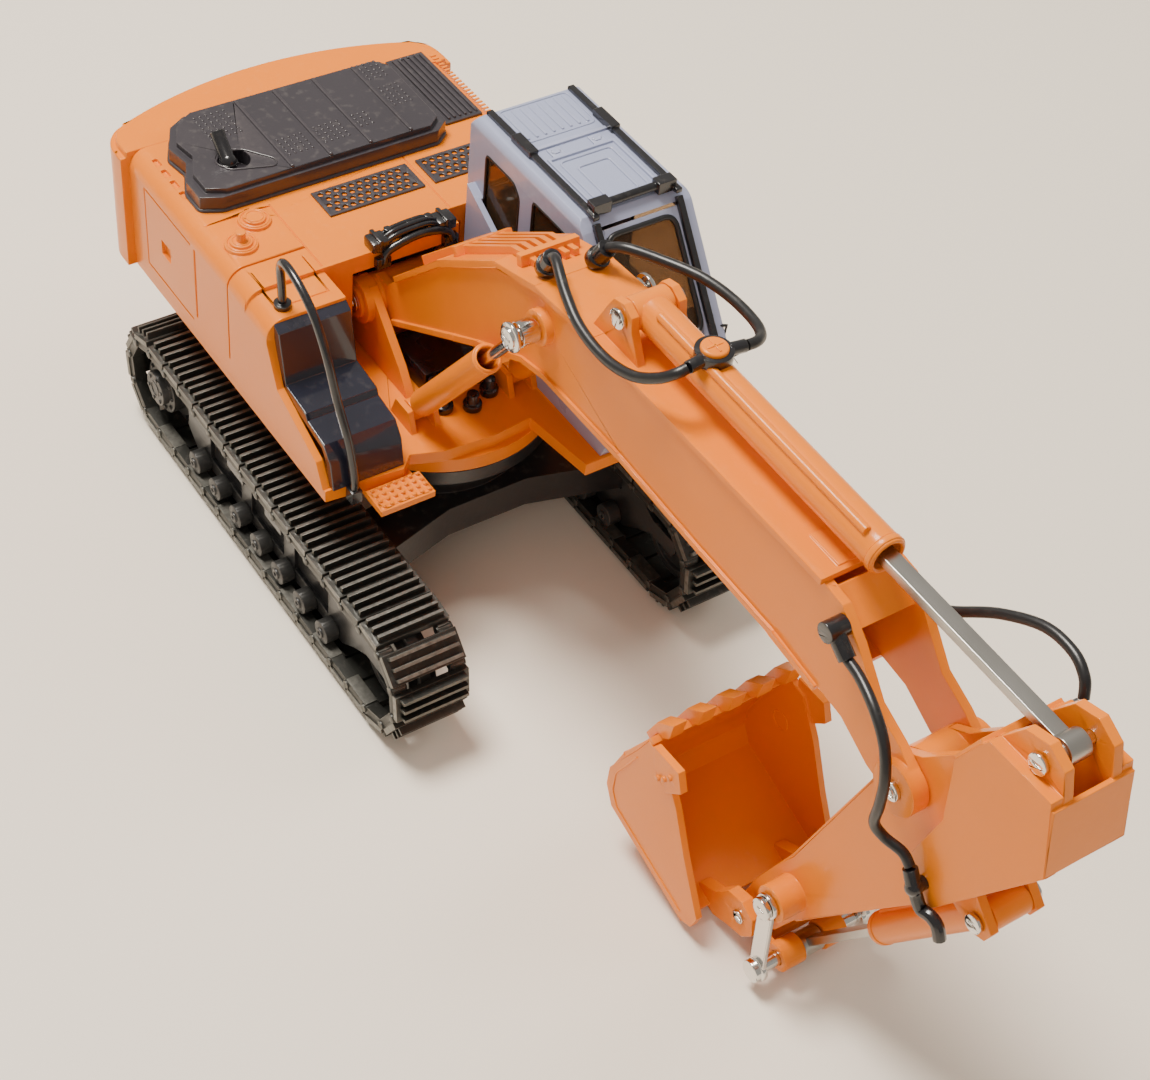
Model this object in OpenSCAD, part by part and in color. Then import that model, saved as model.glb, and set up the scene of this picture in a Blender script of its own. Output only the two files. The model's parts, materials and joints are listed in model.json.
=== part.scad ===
// Radio controlled crawler excavator, millimetres.
// +X is forward (boom side), +Y is the machine's left (cab side), +Z is up.
// The origin is on the ground under the slew axis; wheels turn about Y.

/* [Which sub-part] */

/* [Overall] */
// distance from sprocket axle to idler axle
wheelbase = 80;         // [78:1:84]
// slew axis to the middle of each track chain
track_centre = 29.5;    // [29:0.5:31]
// width of one track shoe
shoe_width = 14;        // [11:0.5:14.5]
// half width of the upper body
body_half = 32.5;       // [31:0.5:33]
// top of the engine housing above the ground
housing_top = 57;       // [55:0.5:60]
// cab roof above the ground
cab_top = 76;           // [72:0.5:80]

/* [Tracks] */
// number of shoes in each chain
links_per_side = 36;    // [34:1:38]
// radius that the link pins follow round sprocket and idler
pin_radius_line = 8.8;  // [8.6:0.1:9]
// height of the three ribs across each shoe
grouser_height = 1.3;   // [0.8:0.1:1.6]
// radius of one lower roller
roller_radius = 2.2;    // [1.8:0.1:2.4]

/* [Upper body] */
// underside of the deck
deck_bottom = 32;       // [31.5:0.5:32.5]
// top face of the deck
deck_top = 34.5;        // [34:0.5:35]
// rear face of the engine housing, where the counterweight starts
housing_rear = -52;     // [-54:0.5:-50]
// front face of the engine housing
housing_front = -8;     // [-8.5:0.5:-7.5]
// radius of the counterweight's rear face in plan
rear_arc_radius = 78;   // [74:1:84]
// where that radius has its centre on the X axis
rear_arc_centre = 11;   // [9:0.5:12]
// radius of the counterweight's upright corners
corner_radius = 7;      // [5:0.5:8]
// height of the slew bearing's joint face
bearing_z = 29;         // [28.5:0.5:29]
// height of the hood cover over the engine housing
hood_height = 4;        // [3:0.5:5]

/* [Cab] */
// inner (right) wall of the cab, clear of the lift cylinder
cab_right = 12.8;       // [12.7:0.1:14]
// outer (left) wall of the cab
cab_left = 34.6;        // [33:0.2:35.4]

/* [Boom and arm] */
// boom foot pivot, [x, z]
boom_pin = [-9.5, 46];
// pivot between boom and arm, [x, z]
arm_pin = [130.2, 63.7];
// half width of the boom over its side plates
boom_half = 6.5;        // [6:0.1:6.6]
// arm cylinder's pivot on the boom, [x, z]
arm_ear_pin = [56.6, 89.4];
// arm cylinder's pivot on the arm, [x, z]
arm_rod_pin = [148.3, 87.5];
// bucket cylinder's pivot on the arm, [x, z]
bucket_base_pin = [147.5, 52.5];
// guide links' pivot on the arm, [x, z]
link_pin = [115.5, 20];
// lower end of the guide links, [x, z]
rod_pin = [116.5, 4.5];
// bucket's pivot on the arm, [x, z]
bucket_pin = [109, 8];
// power link's pivot on the bucket, [x, z]
bucket_lug_pin = [104.6, 4.2];
// lift cylinder's pivot on the deck, [x, z]
lift_base_pin = [10.5, 36.8];
// lift cylinder's pivot on the boom, [x, z]
lift_rod_pin = [40.5, 76.5];
// centre plane to the middle of a lift cylinder
lift_offset = 9.9;      // [9.9:0.1:10]
// plate thickness of the boom and the arm
web = 1.5;              // [1:0.1:2]

/* [Cylinders] */
// length of a lift cylinder's tube from its pivot
lift_barrel = 34;       // [30:1:38]
// length of the arm cylinder's tube from its pivot
arm_barrel_length = 55.5; // [50:0.5:60]
// length of the bucket cylinder's tube from its pivot
bucket_barrel_length = 33; // [30:1:36]
// thickness of the piston rods
rod_width = 2;          // [1.6:0.1:2.4]

/* [Bucket] */
// half width of the bucket over its side plates
bucket_half = 14;       // [12.5:0.5:15]

/* [Hidden] */
$fn = 48;
// radial clearance of a turning fit
fit = 0.05;
// radius of the cylinders' eye pins
eye_pin = 0.95;
// clearance of the power link on the bucket's lug pin
link_slack = 0.55;
// the ribs under the lower run end at z = 0
link_back = 1.9;
axle_height = pin_radius_line + link_back + grouser_height;
orange = [0.95, 0.42, 0.07];
black = [0.08, 0.08, 0.09];
dark = [0.16, 0.15, 0.17];
grey = [0.74, 0.76, 0.83];
steel = [0.72, 0.72, 0.7];
chain_grey = [0.27, 0.27, 0.26];

// ---------- helpers ----------

// a profile drawn as [x, z] points, made solid between two y values
module plate(points, y0, y1) {
  translate([0, y1, 0]) rotate([90, 0, 0]) linear_extrude(y1 - y0) polygon(points);
}

// the same plate on both sides of the centre plane
module plates(points, y0, y1) {
  plate(points, y0, y1);
  plate(points, -y1, -y0);
}

// cylinder along Y at [x, z] between two y values
module across(p, r, y0, y1) {
  translate([p[0], y1, p[1]]) rotate([90, 0, 0]) cylinder(r = r, h = y1 - y0);
}

module across_both(p, r, y0, y1) {
  across(p, r, y0, y1);
  across(p, r, -y1, -y0);
}

// children drawn along +X, laid from p towards q in the XZ plane
module along(p, q) {
  translate([p[0], 0, p[1]]) rotate([0, -atan2(q[1] - p[1], q[0] - p[0]), 0]) children();
}

function span(p, q) = norm([q[0] - p[0], q[1] - p[1]]);

// flat strip following a line of [x, z] points
module strip(points, t, half) {
  for (i = [0 : len(points) - 2])
    along(points[i], points[i + 1])
      translate([0, -half, -t / 2]) cube([span(points[i], points[i + 1]) + t / 3, 2 * half, t]);
}

module block(lo, hi) {
  translate(lo) cube([hi[0] - lo[0], hi[1] - lo[1], hi[2] - lo[2]]);
}

// hose: a round tube swept along a list of [x, y, z] points
function unit(v) = v / norm(v);
function smooth(pts, k) = [for (i = [0 : len(pts) - 2], j = [0 : k - 1])
  let (a = pts[max(i - 1, 0)], b = pts[i], c = pts[i + 1], d = pts[min(i + 2, len(pts) - 1)], t = j / k)
    0.5 * (2 * b + (c - a) * t + (2 * a - 5 * b + 4 * c - d) * t * t + (3 * b - a - 3 * c + d)
        * t * t * t)];
function line_of(pts, k) = concat(smooth(pts, k), [pts[len(pts) - 1]]);
function heading(l, i) = unit(l[min(i + 1, len(l) - 1)] - l[max(i - 1, 0)]);
// carries the section's side direction along the line without twist
function sides_of(l, i, prev) = let (h = heading(l, i), s = unit(prev - (prev * h) * h))
  i == len(l) - 1 ? [s] : concat([s], sides_of(l, i + 1, s));
module tube(pts, r, k = 5, n = 10) {
  l = line_of(pts, k);
  h0 = heading(l, 0);
  s = sides_of(l, 0, abs(h0[2]) < 0.9 ? [0, 0, 1] : [1, 0, 0]);
  m = len(l);
  ring = [for (i = [0 : m - 1]) let (u = s[i], v = cross(heading(l, i), u))
    for (j = [0 : n - 1]) l[i] + r * (cos(360 * j / n) * u + sin(360 * j / n) * v)];
  polyhedron(ring, concat(
    [[for (j = [0 : n - 1]) j]],
    [[for (j = [0 : n - 1]) (m - 1) * n + n - 1 - j]],
    [for (i = [0 : m - 2], j = [0 : n - 1])
      [(i + 1) * n + j, (i + 1) * n + (j + 1) % n, i * n + (j + 1) % n, i * n + j]]));
}

// ---------- undercarriage ----------

run = wheelbase;
chain_length = 2 * run + 2 * PI * pin_radius_line;
pitch = chain_length / links_per_side;

// place the child (drawn at the origin, outer side up) at distance s round the loop
module on_loop(s) {
  arc = PI * pin_radius_line;
  if (s < run)
    translate([run / 2 - s, 0, -pin_radius_line]) rotate([0, 180, 0]) children();
  else if (s < run + arc)
    translate([-run / 2, 0, 0]) rotate([0, -180 + (s - run) / arc * 180, 0])
        translate([0, 0, pin_radius_line]) children();
  else if (s < 2 * run + arc)
    translate([-run / 2 + s - run - arc, 0, pin_radius_line]) children();
  else
    translate([run / 2, 0, 0]) rotate([0, (s - 2 * run - arc) / arc * 180, 0])
        translate([0, 0, pin_radius_line]) children();
}

bar_width = 2.4;
boss_radius = 1;

// one link with its shoe; slim links alternate with full ones, so that their bars overlap at the pins
module chain_link(slim) {
  shoe = pitch - 0.5;
  rib_base = 1.8;
  rib_half = shoe_width / 2 - 0.8;
  inset = slim ? 0.1 : 0;
  translate([-shoe / 2, -shoe_width / 2, 0.8]) cube([shoe, shoe_width, link_back - 0.8]);
  for (x = [-1.9, 0, 1.9])
    translate([x - 0.3, -rib_half, rib_base])
        cube([0.6, 2 * rib_half, link_back + grouser_height - rib_base]);
  for (side = [-1, 1]) translate([0, side * (shoe_width / 2 - 0.15 - bar_width / 2), 0]) {
    translate([-pitch / 2 - 0.3, inset - bar_width / 2, inset - boss_radius])
      cube([pitch + 0.6, bar_width - 2 * inset, boss_radius + 0.9 - inset]);
    translate([-pitch / 2, bar_width / 2 + 0.3, 0]) rotate([90, 0, 0])
      cylinder(r = boss_radius - 0.2, h = bar_width + 0.6, $fn = 16);
  }
}

module chain(side) {
  color(chain_grey) translate([0, side * track_centre, axle_height])
    for (i = [0 : links_per_side - 1]) on_loop((i + 0.5) * pitch) chain_link(i % 2 == 1);
}

module chain_right() { chain(-1); }
module chain_left() { chain(1); }

// clear half width between the link bars
inner_half = shoe_width / 2 - bar_width - 0.15;

king_radius = 3.2;

module carbody() {
  reach = track_centre - 3.2;
  color(black) {
    difference() {
      translate([0, 0, 13]) linear_extrude(6.6) polygon([
        [25, -reach], [20, -8], [20, 8], [25, reach], [14, reach], [12, 16], [-12, 16], [-14, reach],
        [-25, reach], [-20, 8], [-20, -8], [-25, -reach], [-14, -reach], [-12, -16], [12, -16],
            [14, -reach]]);
      translate([0, 0, 10]) cylinder(r = 8, h = 8);
      for (x = [-1, 1], y = [-1, 1]) translate([x * 19.5, y * 20, 12.9]) cylinder(r = 1.2, h = 3);
    }
    translate([0, 0, 19.5]) cylinder(r = 17.5, h = 6.5);
    translate([0, 0, 26]) cylinder(r = 22, h = bearing_z - 26);
    // king pin and the flange that holds the deck down
    translate([0, 0, bearing_z]) cylinder(r = king_radius, h = deck_top - bearing_z + 0.6);
    translate([0, 0, deck_top + 0.1]) cylinder(r = king_radius + 1.2, h = 1);
  }
}

module side_frames() {
  frame_half = inner_half - 0.6;
  color(black) for (side = [-1, 1]) translate([0, side * track_centre, 0]) {
    difference() {
      plate([[-30, 8], [-27, 5.2], [27, 5.2], [31, 8], [35.2, 10.2], [35.2, 13.8], [31, 16], [-31, 16],
          [-32.5, 14], [-32.5, 10]], -frame_half, frame_half);
      // pocket for the carbody leg
      for (x = [-1, 1]) translate([x * 19.5 - 5.6, side > 0 ? -frame_half - 1 : 0.4, 12.9])
          cube([11.2, frame_half + 0.6, 7.2]);
      // room for the idler and the sprocket
      across([run / 2, axle_height], 9.1, -inner_half + 1.5, inner_half - 1.5);
      across([-run / 2, axle_height], 9.1, side > 0 ? -2.8 : -inner_half, side > 0 ? inner_half : 2.8);
      // recessed outer panels
      for (x = [-22, -6, 10]) translate([x, side > 0 ? frame_half - 0.8 : -frame_half - 0.2, 8])
          cube([12, 1, 5.5]);
    }
    // idler fork
    for (y = [-1, 1]) translate([0, y * (frame_half - 0.5), 0])
      plate([[34, 10.2], [41.5, 10.2], [42.5, 12], [41.5, 13.8], [34, 13.8]], -0.5, 0.5);
    across([run / 2, axle_height], 1.2, -frame_half, frame_half);
    // top carriers under the upper run
    for (x = [-7, 7]) {
      translate([x - 3, -inner_half + 0.3, 15.5]) cube([6, 2 * inner_half - 0.6, 2.3]);
      translate([x - 3, -shoe_width / 2 + 0.5, 17.8])
          cube([6, shoe_width - 1, axle_height + pin_radius_line - boss_radius - 17.8]);
    }
  }
}

module track_rollers() {
  drop = axle_height - pin_radius_line + boss_radius;
  frame_half = inner_half - 0.6;
  color(dark) for (side = [-1, 1], x = [-24 : 8 : 24]) translate([0, side * track_centre, 0]) {
    difference() {
      union() {
        across_both([x, drop + roller_radius], roller_radius, frame_half, shoe_width / 2 - 0.6);
        across_both([x, drop + roller_radius], 1, shoe_width / 2 - 0.7, shoe_width / 2 - 0.2);
      }
      across([x, drop + roller_radius], 0.4, -shoe_width, shoe_width);
    }
  }
}

module travel_motors() {
  color(dark) for (side = [-1, 1]) translate([0, side * track_centre, 0]) {
    across([-run / 2, axle_height], 2.6, side > 0 ? -inner_half - 0.2 : -2.2, side > 0 ? 2.2
        : inner_half + 0.2);
    plate([[-run / 2, 9.8], [-32.5, 10], [-32.5, 14], [-run / 2, 14.2]],
      side > 0 ? -inner_half + 0.1 : inner_half - 1.5, side > 0 ? -inner_half + 1.5 : inner_half - 0.1);
  }
}

module sprocket(side) {
  teeth = 9;
  color(dark) translate([-run / 2, side * track_centre, axle_height]) rotate([side > 0 ? -90 : 90, 0, 0])
    difference() {
      union() {
        translate([0, 0, -2.4]) cylinder(r = 6.6, h = 4.6);
        for (i = [0 : teeth - 1]) rotate(360 / teeth * i) translate([0, -1.1, -1.4]) cube([8.4, 2.2, 2.8]);
        translate([0, 0, 2.2]) cylinder(r = 5.2, h = 2.6);
        translate([0, 0, 4.8]) cylinder(r = 3.4, h = 1.4);
        for (i = [0 : 9]) rotate(36 * i) translate([4.3, 0, 4.6]) cylinder(r = 0.4, h = 0.6, $fn = 16);
      }
      translate([0, 0, -2.5]) cylinder(r = 2.6 + fit, h = 5);
    }
}

module sprocket_right() { sprocket(-1); }
module sprocket_left() { sprocket(1); }

module idler(side) {
  half = inner_half - 1.8;
  color(dark) translate([run / 2, side * track_centre, axle_height]) rotate([90, 0, 0])
    difference() {
      union() {
        translate([0, 0, -half]) cylinder(r = 7.4, h = 2 * half);
        translate([0, 0, -1]) cylinder(r = 8.6, h = 2);
      }
      for (z = [-half - 0.1, half - 0.7]) translate([0, 0, z]) difference() {
        cylinder(r = 5.8, h = 0.8);
        translate([0, 0, -0.1]) cylinder(r = 2.6, h = 1);
      }
      translate([0, 0, -half - 0.1]) cylinder(r = 1.2 + fit, h = 2 * half + 0.2);
    }
}

module idler_right() { idler(-1); }
module idler_left() { idler(1); }

ring_teeth = 52;
pinion_teeth = 12;
gear_module = 0.5;

// straight toothed wheel, with short teeth that leave play in the mesh
module gear(teeth, h) {
  pr = teeth * gear_module / 2;
  root = pr - 0.5;
  tip = pr + 0.3;
  step = 360 / teeth;
  linear_extrude(h) polygon([for (i = [0 : teeth - 1], c = [[root, -0.3], [tip, -0.12], [tip, 0.12],
      [root, 0.3]])
    c[0] * [cos(step * (i + c[1])), sin(step * (i + c[1]))]]);
}

module slew_ring() {
  color(steel) translate([0, 0, bearing_z]) difference() {
    gear(ring_teeth, 2);
    translate([0, 0, -1]) cylinder(r = 9, h = 4);
  }
}

// ---------- upper body ----------

pinion_x = -(ring_teeth + pinion_teeth) * gear_module / 2;

module deck_plate() {
  floor_half = body_half - 0.2;
  color(orange) {
    difference() {
      union() {
        translate([0, 0, deck_bottom]) linear_extrude(deck_top - deck_bottom) polygon([
          [housing_rear, -floor_half], [19, -floor_half], [20.5, -18], [18, -15.5], [20, -10], [20.8, 0],
          [20, 7.5], [34.5, 9.5], [34.5, body_half + 1], [-12, body_half + 1], [-12, floor_half],
              [housing_rear, floor_half]]);
        translate([0, 0, bearing_z + fit]) cylinder(r = 22, h = deck_bottom - bearing_z - fit);
      }
      translate([0, 0, bearing_z]) cylinder(r = 20, h = deck_bottom - bearing_z);
      translate([0, 0, deck_bottom - 1]) cylinder(r = king_radius + fit, h = 5);
      translate([pinion_x, 0, deck_bottom - 1]) cylinder(r = 1.2, h = 5);
      // slot for the power switch
      block([-46, -3, deck_bottom - 1], [-43, 3, deck_top + 1]);
    }
    // lugs that take the lift cylinder feet
    for (s = [-1, 1], y = [-2.9, 1.8])
      plate([[6.8, deck_top - 0.1], [14.2, deck_top - 0.1], [12.6, lift_base_pin[1] + 1.7],
        [8.4, lift_base_pin[1] + 1.7]], s * lift_offset + y, s * lift_offset + y + 1.1);
    for (s = [-1, 1]) across(lift_base_pin, eye_pin, s * lift_offset - 2.85, s * lift_offset + 2.85);
  }
}

bay_half = 12;
tank_front = -0.5;
tank_inner = -17.5;
tank_top = housing_top - 0.8;

module engine_housing() {
  r = 3.5;
  top = housing_top;
  color(orange) {
    difference() {
      union() {
        block([housing_rear, -body_half, deck_top], [housing_front, body_half, top - r]);
        block([housing_rear, -body_half + r, top - r], [housing_front, body_half - r, top]);
        for (s = [-1, 1]) translate([housing_rear, s * (body_half - r), top - r]) rotate([0, 90, 0])
            cylinder(r = r, h = housing_front - housing_rear);
        // fuel tank and tool box run forward on the right, a little lower
        block([housing_front - 0.1, -body_half, deck_top], [tank_front, tank_inner, tank_top - r]);
        block([housing_front - 0.1, -body_half + r, tank_top - r - 0.1],
            [tank_front, tank_inner, tank_top]);
        translate([housing_front - 0.1, -body_half + r, tank_top - r]) rotate([0, 90, 0])
            cylinder(r = r, h = tank_front - housing_front + 0.1);
        plate([[-0.6, deck_top], [18.6, deck_top], [16.2, 39], [3, 44.5], [-0.6, 52]], -body_half,
            -body_half + 1.4);
      }
      // hollow for the power pack
      block([housing_rear - 1, -29.5, deck_top - 1], [-20, 29.5, 53.5]);
      block([-20.1, -29.5, deck_top - 1], [-2.5, -20, 53]);
      // bay for the boom foot
      block([-20.1, -bay_half, deck_top - 1], [housing_front + 1, bay_half, 53.5]);
      // cab seat
      block([-12.2, 9, deck_top - 1], [housing_front + 1, body_half + 1, top + 1]);
      // row of slots on the right shoulder, lifting recess in the side
      for (x = [-47, -43.5, -40, -36.5]) block([x - 1.1, -29.8, top - 0.6], [x + 1.1, -28.8, top + 1]);
      block([-40, -body_half - 1, 43], [-36.5, -body_half + 0.7, 46]);
      block([-27, -body_half - 1, 38], [-26.4, -body_half + 0.4, 53]);
      block([-14.6, -body_half - 1, 38], [-14.2, -17.6, top + 1]);
    }
    // filler caps
    translate([-24.5, -22, top - 0.1]) { cylinder(r = 2.9, h = 0.7); cylinder(r = 2, h = 1.2); }
    translate([-19.7, -27, top - 0.1]) { cylinder(r = 2.9, h = 0.7); cylinder(r = 2, h = 1.2);
        cylinder(r = 0.8, h = 2.6); }
  }
}

rear_half = 34;

module counterweight_plan(inset) {
  reach = rear_arc_radius - corner_radius;
  cy = rear_half - corner_radius;
  cx = rear_arc_centre - sqrt(reach * reach - cy * cy);
  tip = cy * rear_arc_radius / reach;
  back = rear_arc_centre - rear_arc_radius;
  intersection() {
    translate([rear_arc_centre, 0]) circle(r = rear_arc_radius - inset, $fn = 160);
    translate([back - 1, -tip]) square([housing_rear - back + 1, 2 * tip]);
  }
  intersection() {
    for (s = [-1, 1]) translate([cx, s * cy]) circle(r = corner_radius - inset);
    translate([back, -rear_half]) square([housing_rear - back, 2 * rear_half]);
  }
  translate([cx, inset - rear_half]) square([housing_rear - cx, 2 * (rear_half - inset)]);
}

module counterweight() {
  color(orange) difference() {
    union() {
      translate([0, 0, deck_bottom]) linear_extrude(housing_top - deck_bottom - 1.2) counterweight_plan(0);
      translate([0, 0, housing_top - 1.3]) linear_extrude(1.3) counterweight_plan(1.1);
    }
    block([-58, -24, deck_top], [housing_rear + 1, 24, 52]);
  }
}

hood_plan = [[-53.4, -21], [-51.4, -24.5], [-46, -27.4], [-41, -26.6], [-36, -29], [-31, -29],
    [-29.3, -25.5],
  [-29.3, 17.5], [-31.5, 20.3], [-49.5, 20.6], [-53, 18.6]];

module hood_cover() {
  color(dark) difference() {
    union() {
      translate([0, 0, housing_top]) linear_extrude(hood_height - 1) polygon(hood_plan);
      translate([-41.4, -4, housing_top + hood_height - 1.1]) scale([0.94, 0.94, 1])
          translate([41.4, 4, 0]) linear_extrude(1.1) polygon(hood_plan);
      for (y = [-11.4, -3.8, 4.2, 12.4]) block([-52, y - 0.3, housing_top + 2],
          [-30.2, y + 0.3, housing_top + hood_height + 0.35]);
    }
    // recess the exhaust stands in
    translate([-37, -19.5, housing_top + 1.2]) cylinder(r = 3, h = 5);
  }
}

module exhaust() {
  foot = housing_top + 1.2;
  color(black) {
    translate([-36.6, -20.6, foot]) cylinder(r = 1.5, h = 3);
    translate([-36.6, -20.6, foot + 2.9]) sphere(r = 1.5);
    translate([-36.6, -20.6, foot + 2.9]) rotate([0, -48, 0]) difference() {
      cylinder(r = 1.3, h = 5.5);
      translate([0, 0, 3]) cylinder(r = 0.9, h = 4);
    }
  }
}

module grilles() {
  z = housing_top;
  color(dark) {
    block([-55.4, 21.6, z], [-33.4, 29.4, z + 0.5]);
    for (i = [0 : 5]) block([-54.6, 22.6 + i * 1.15, z + 0.4], [-34.2, 23.1 + i * 1.15, z + 0.9]);
  }
  for (y = [-10, 11]) difference() {
    color(dark) block([-26.6, y, z], [-19.4, y + 19, z + 0.4]);
    for (i = [0 : 10], j = [0 : 3])
        translate([-25.4 + j * 1.6, y + 1.3 + i * 1.55 + (j % 2) * 0.77, z - 1])
        cylinder(r = 0.5, h = 3, $fn = 14);
  }
}

module tank_cover() {
  color(dark) plate([[-0.5, 55.6], [1.2, 54.6], [3.4, 45.2], [10.2, 44.4], [10.8, 43.2], [16.4, 42.4],
      [18.6, 39.6], [19.6, deck_top],
      [18.2, deck_top], [17.2, 39.2], [15.8, 41], [2.2, 43.6], [-0.5, 52.8]], -body_half + 1.4, -17.5);
  color(dark) plate([[17, 41], [18.2, deck_top], [12, deck_top], [12, 41.2]], -18.9, -17.5);
  color(dark) plate([[-0.5, 53], [2.3, 43.6], [12.1, 41.6], [12.1, deck_top], [-0.5, deck_top]], -18.9,
      -17.5);
}

module step_plate() {
  color(orange) {
    block([20.9, -25.8, deck_bottom], [26.5, -15.4, deck_bottom + 1.2]);
    block([18.5, -25.2, deck_bottom - 1.1], [22.5, -16, deck_bottom]);
    for (i = [0 : 6], j = [0 : 3]) translate([21.6 + j * 1.35, -24.8 + i * 1.45, deck_bottom + 1.1])
        cylinder(r = 0.35, h = 0.5, $fn = 14);
  }
}

rail_line = [[-3.2, -28, tank_top + 0.3], [-3.1, -28.2, 61], [-2.6, -28.6, 65.5], [0, -29, 67.6],
    [5, -29.2, 67], [10, -29.2, 64],
  [13.6, -29, 58.5], [16.4, -28.6, 51], [19.4, -28.1, 44], [20.9, -27.8, 37], [20.9, -27.8, 33.6]];

module handrail() {
  color(black) {
    tube(rail_line, 0.75, 4, 12);
    translate([-3.2, -28, tank_top]) cylinder(r = 1.5, h = 1);
    block([19.7, -28.8, deck_bottom + 0.1], [21.9, -26.8, deck_top + 0.2]);
  }
}

foot_profile = [[-17, deck_top], [6.4, deck_top], [3, 39.4], [-5.2, 47.6], [-7.4, 49.8], [-11, 50.1],
    [-13.4, 48]];

module foot_brackets() {
  color(orange) difference() {
    union() {
      plates(foot_profile, 7.4, 9);
      across_both(boom_pin, 4.2, 7.4, 10.4);
      across_both(boom_pin, 2.9, 10.4, 11);
      block([-11.5, -7.5, deck_top], [-8.5, 7.5, deck_top + 2]);
    }
    across(boom_pin, 1.8, -12, 12);
  }
}

module foot_pin() {
  color(steel) {
    across(boom_pin, 1.8, -11.4, 11.4);
    across(boom_pin, 0.9, -11.7, 11.7);
  }
}

module valve_block() {
  color(black) {
    difference() {
      block([-5.6, -5.6, deck_top], [6.2, 5.6, deck_top + 4.5]);
      translate([0, 0, deck_top - 1]) cylinder(r = king_radius + 1.5, h = 2.4);
    }
    for (i = [0 : 3]) translate([7.4, -4.5 + i * 3, deck_top]) cylinder(r = 1, h = 4.2);
    for (y = [-4.6, 0, 4.6]) translate([11 + (y == 0 ? 2 : 0), y, deck_top])
        { cylinder(r = 1.7, h = 1.4); cylinder(r = 1.1, h = 3.4); }
    // hose bundle that arches over the boom foot
    tube([[-7.1, -6.5, 54.6], [-7.1, -6, 56.6], [-7.1, -3.5, 57.6], [-7.1, 0, 58.2], [-7.1, 3, 58],
        [-7.1, 6, 57],
      [-7.1, 7, 54.8]], 0.8, 4, 8);
    for (y = [-8, 5.4]) block([housing_front, y, 53.6], [-6.7, y + 2.8, 55.8]);
  }
}

cab_profile = [[-12, deck_top], [-12, cab_top - 2], [-10.6, cab_top], [20.4, cab_top - 0.3],
    [22.4, cab_top - 2.2],
  [36.6, 54], [36.2, 40], [33.8, deck_top]];

// roof hatch, from its right edge to its left edge
hatch_right = cab_right + 4.2;
hatch_left = cab_left - 4.2;
side_glass = [[[-6.6, 55], [2.2, 55], [4, 57], [4, 69], [2, 71], [-6.6, 71]],
  [[8, 50], [31.4, 50], [31.4, 55.8], [21.8, 71], [8, 71]]];

module cab_shell() {
  r = 2;
  skin = 1.2;
  color(grey) {
    difference() {
      union() {
        intersection() {
          plate(cab_profile, cab_right, cab_left);
          union() {
            block([-13, cab_right, 30], [40, cab_left, cab_top - 2 * r]);
            block([-13, cab_right + r, 30], [40, cab_left - r, cab_top + 1]);
            for (y = [cab_right + r, cab_left - r]) translate([-13, y, cab_top - r]) rotate([0, 90, 0])
                cylinder(r = r, h = 53);
            for (y = [cab_right, cab_left - r]) block([-13, y, cab_top - 2 * r - 0.1],
                [40, y + r, cab_top - r]);
          }
        }
        // roof hatch frame, hinges and ribs
        block([5, hatch_right, cab_top - 0.5], [19, hatch_right + 0.5, cab_top + 0.25]);
        block([5, hatch_left - 0.5, cab_top - 0.5], [19, hatch_left, cab_top + 0.25]);
        block([5, hatch_right + 0.4, cab_top - 0.5], [5.6, hatch_left - 0.4, cab_top + 0.25]);
        for (y = [hatch_right + 2, hatch_left - 3.2])
            block([3.2, y, cab_top - 0.5], [4.4, y + 1.2, cab_top + 0.35]);
        for (i = [0 : 7]) block([-9.4, hatch_right + 0.3 + i * 1.7, cab_top - 0.4],
            [-1.2, hatch_right + 0.8 + i * 1.7, cab_top + 0.2]);
        // outer panel at the lower rear of the right side
        plate([[-9.6, 50], [3.4, 50], [3.4, 56.5], [-9.6, 63.5]], cab_right - 1.6, cab_right + 0.3);
      }
      // inside room, open to the floor
      plate([[-10.6, deck_top - 1], [-10.6, cab_top - 3.6], [-9.4, cab_top - 1.6], [19.8, cab_top - 1.8],
          [21.4, cab_top - 3.2],
        [34.9, 53.4], [34.6, 40], [33, deck_top - 1]], cab_right + skin, cab_left - skin);
      // side windows
      for (y = [cab_right - 0.5, cab_left - 1.6], pane = side_glass) plate(pane, y, y + 2.1);
      // windscreen opening
      plate([[20.3, 73.6], [24.8, 74.8], [38, 55], [34, 54.9]], cab_right + 2.2, cab_left - 2.2);
      // rear window
      block([-13, cab_right + 4, 60], [-10, cab_left - 4, 72]);
    }
  }
}

module cab_glass() {
  color([0.12, 0.1, 0.1]) {
    along([22.55, 73.4], [35.25, 54.9]) block([1, cab_right + 2.2, -0.9], [21.2, cab_left - 2.2, -0.1]);
    for (y = [cab_right + 0.3, cab_left - 0.9], pane = side_glass) plate(pane, y, y + 0.6);
    block([-11.6, cab_right + 4, 60], [-11, cab_left - 4, 72]);
  }
}

module cab_rails() {
  rail_rows = [cab_right + 2.1, cab_left - 3.3];
  color(black) {
    for (y = rail_rows) {
      block([-10.6, y, cab_top], [20.2, y + 1.2, cab_top + 0.7]);
      block([-2.4, y - 0.3, cab_top], [3.4, y + 1.5, cab_top + 1.2]);
      along([21.4, cab_top - 0.6], [36.8, 54.2]) block([0.6, y, -0.1], [25.6, y + 1.2, 0.9]);
      block([19.8, y, cab_top - 0.25], [22.2, y + 1.2, cab_top + 0.6]);
    }
    translate([20, rail_rows[0] + 1, cab_top + 0.9]) rotate([-90, 0, 0])
      cylinder(r = 0.75, h = rail_rows[1] - rail_rows[0] - 1);
    for (y = [rail_rows[0] + 0.6, rail_rows[1] - 3])
        block([19.05, y, cab_top - 0.2], [21.2, y + 3.6, cab_top + 2]);
  }
}

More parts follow.
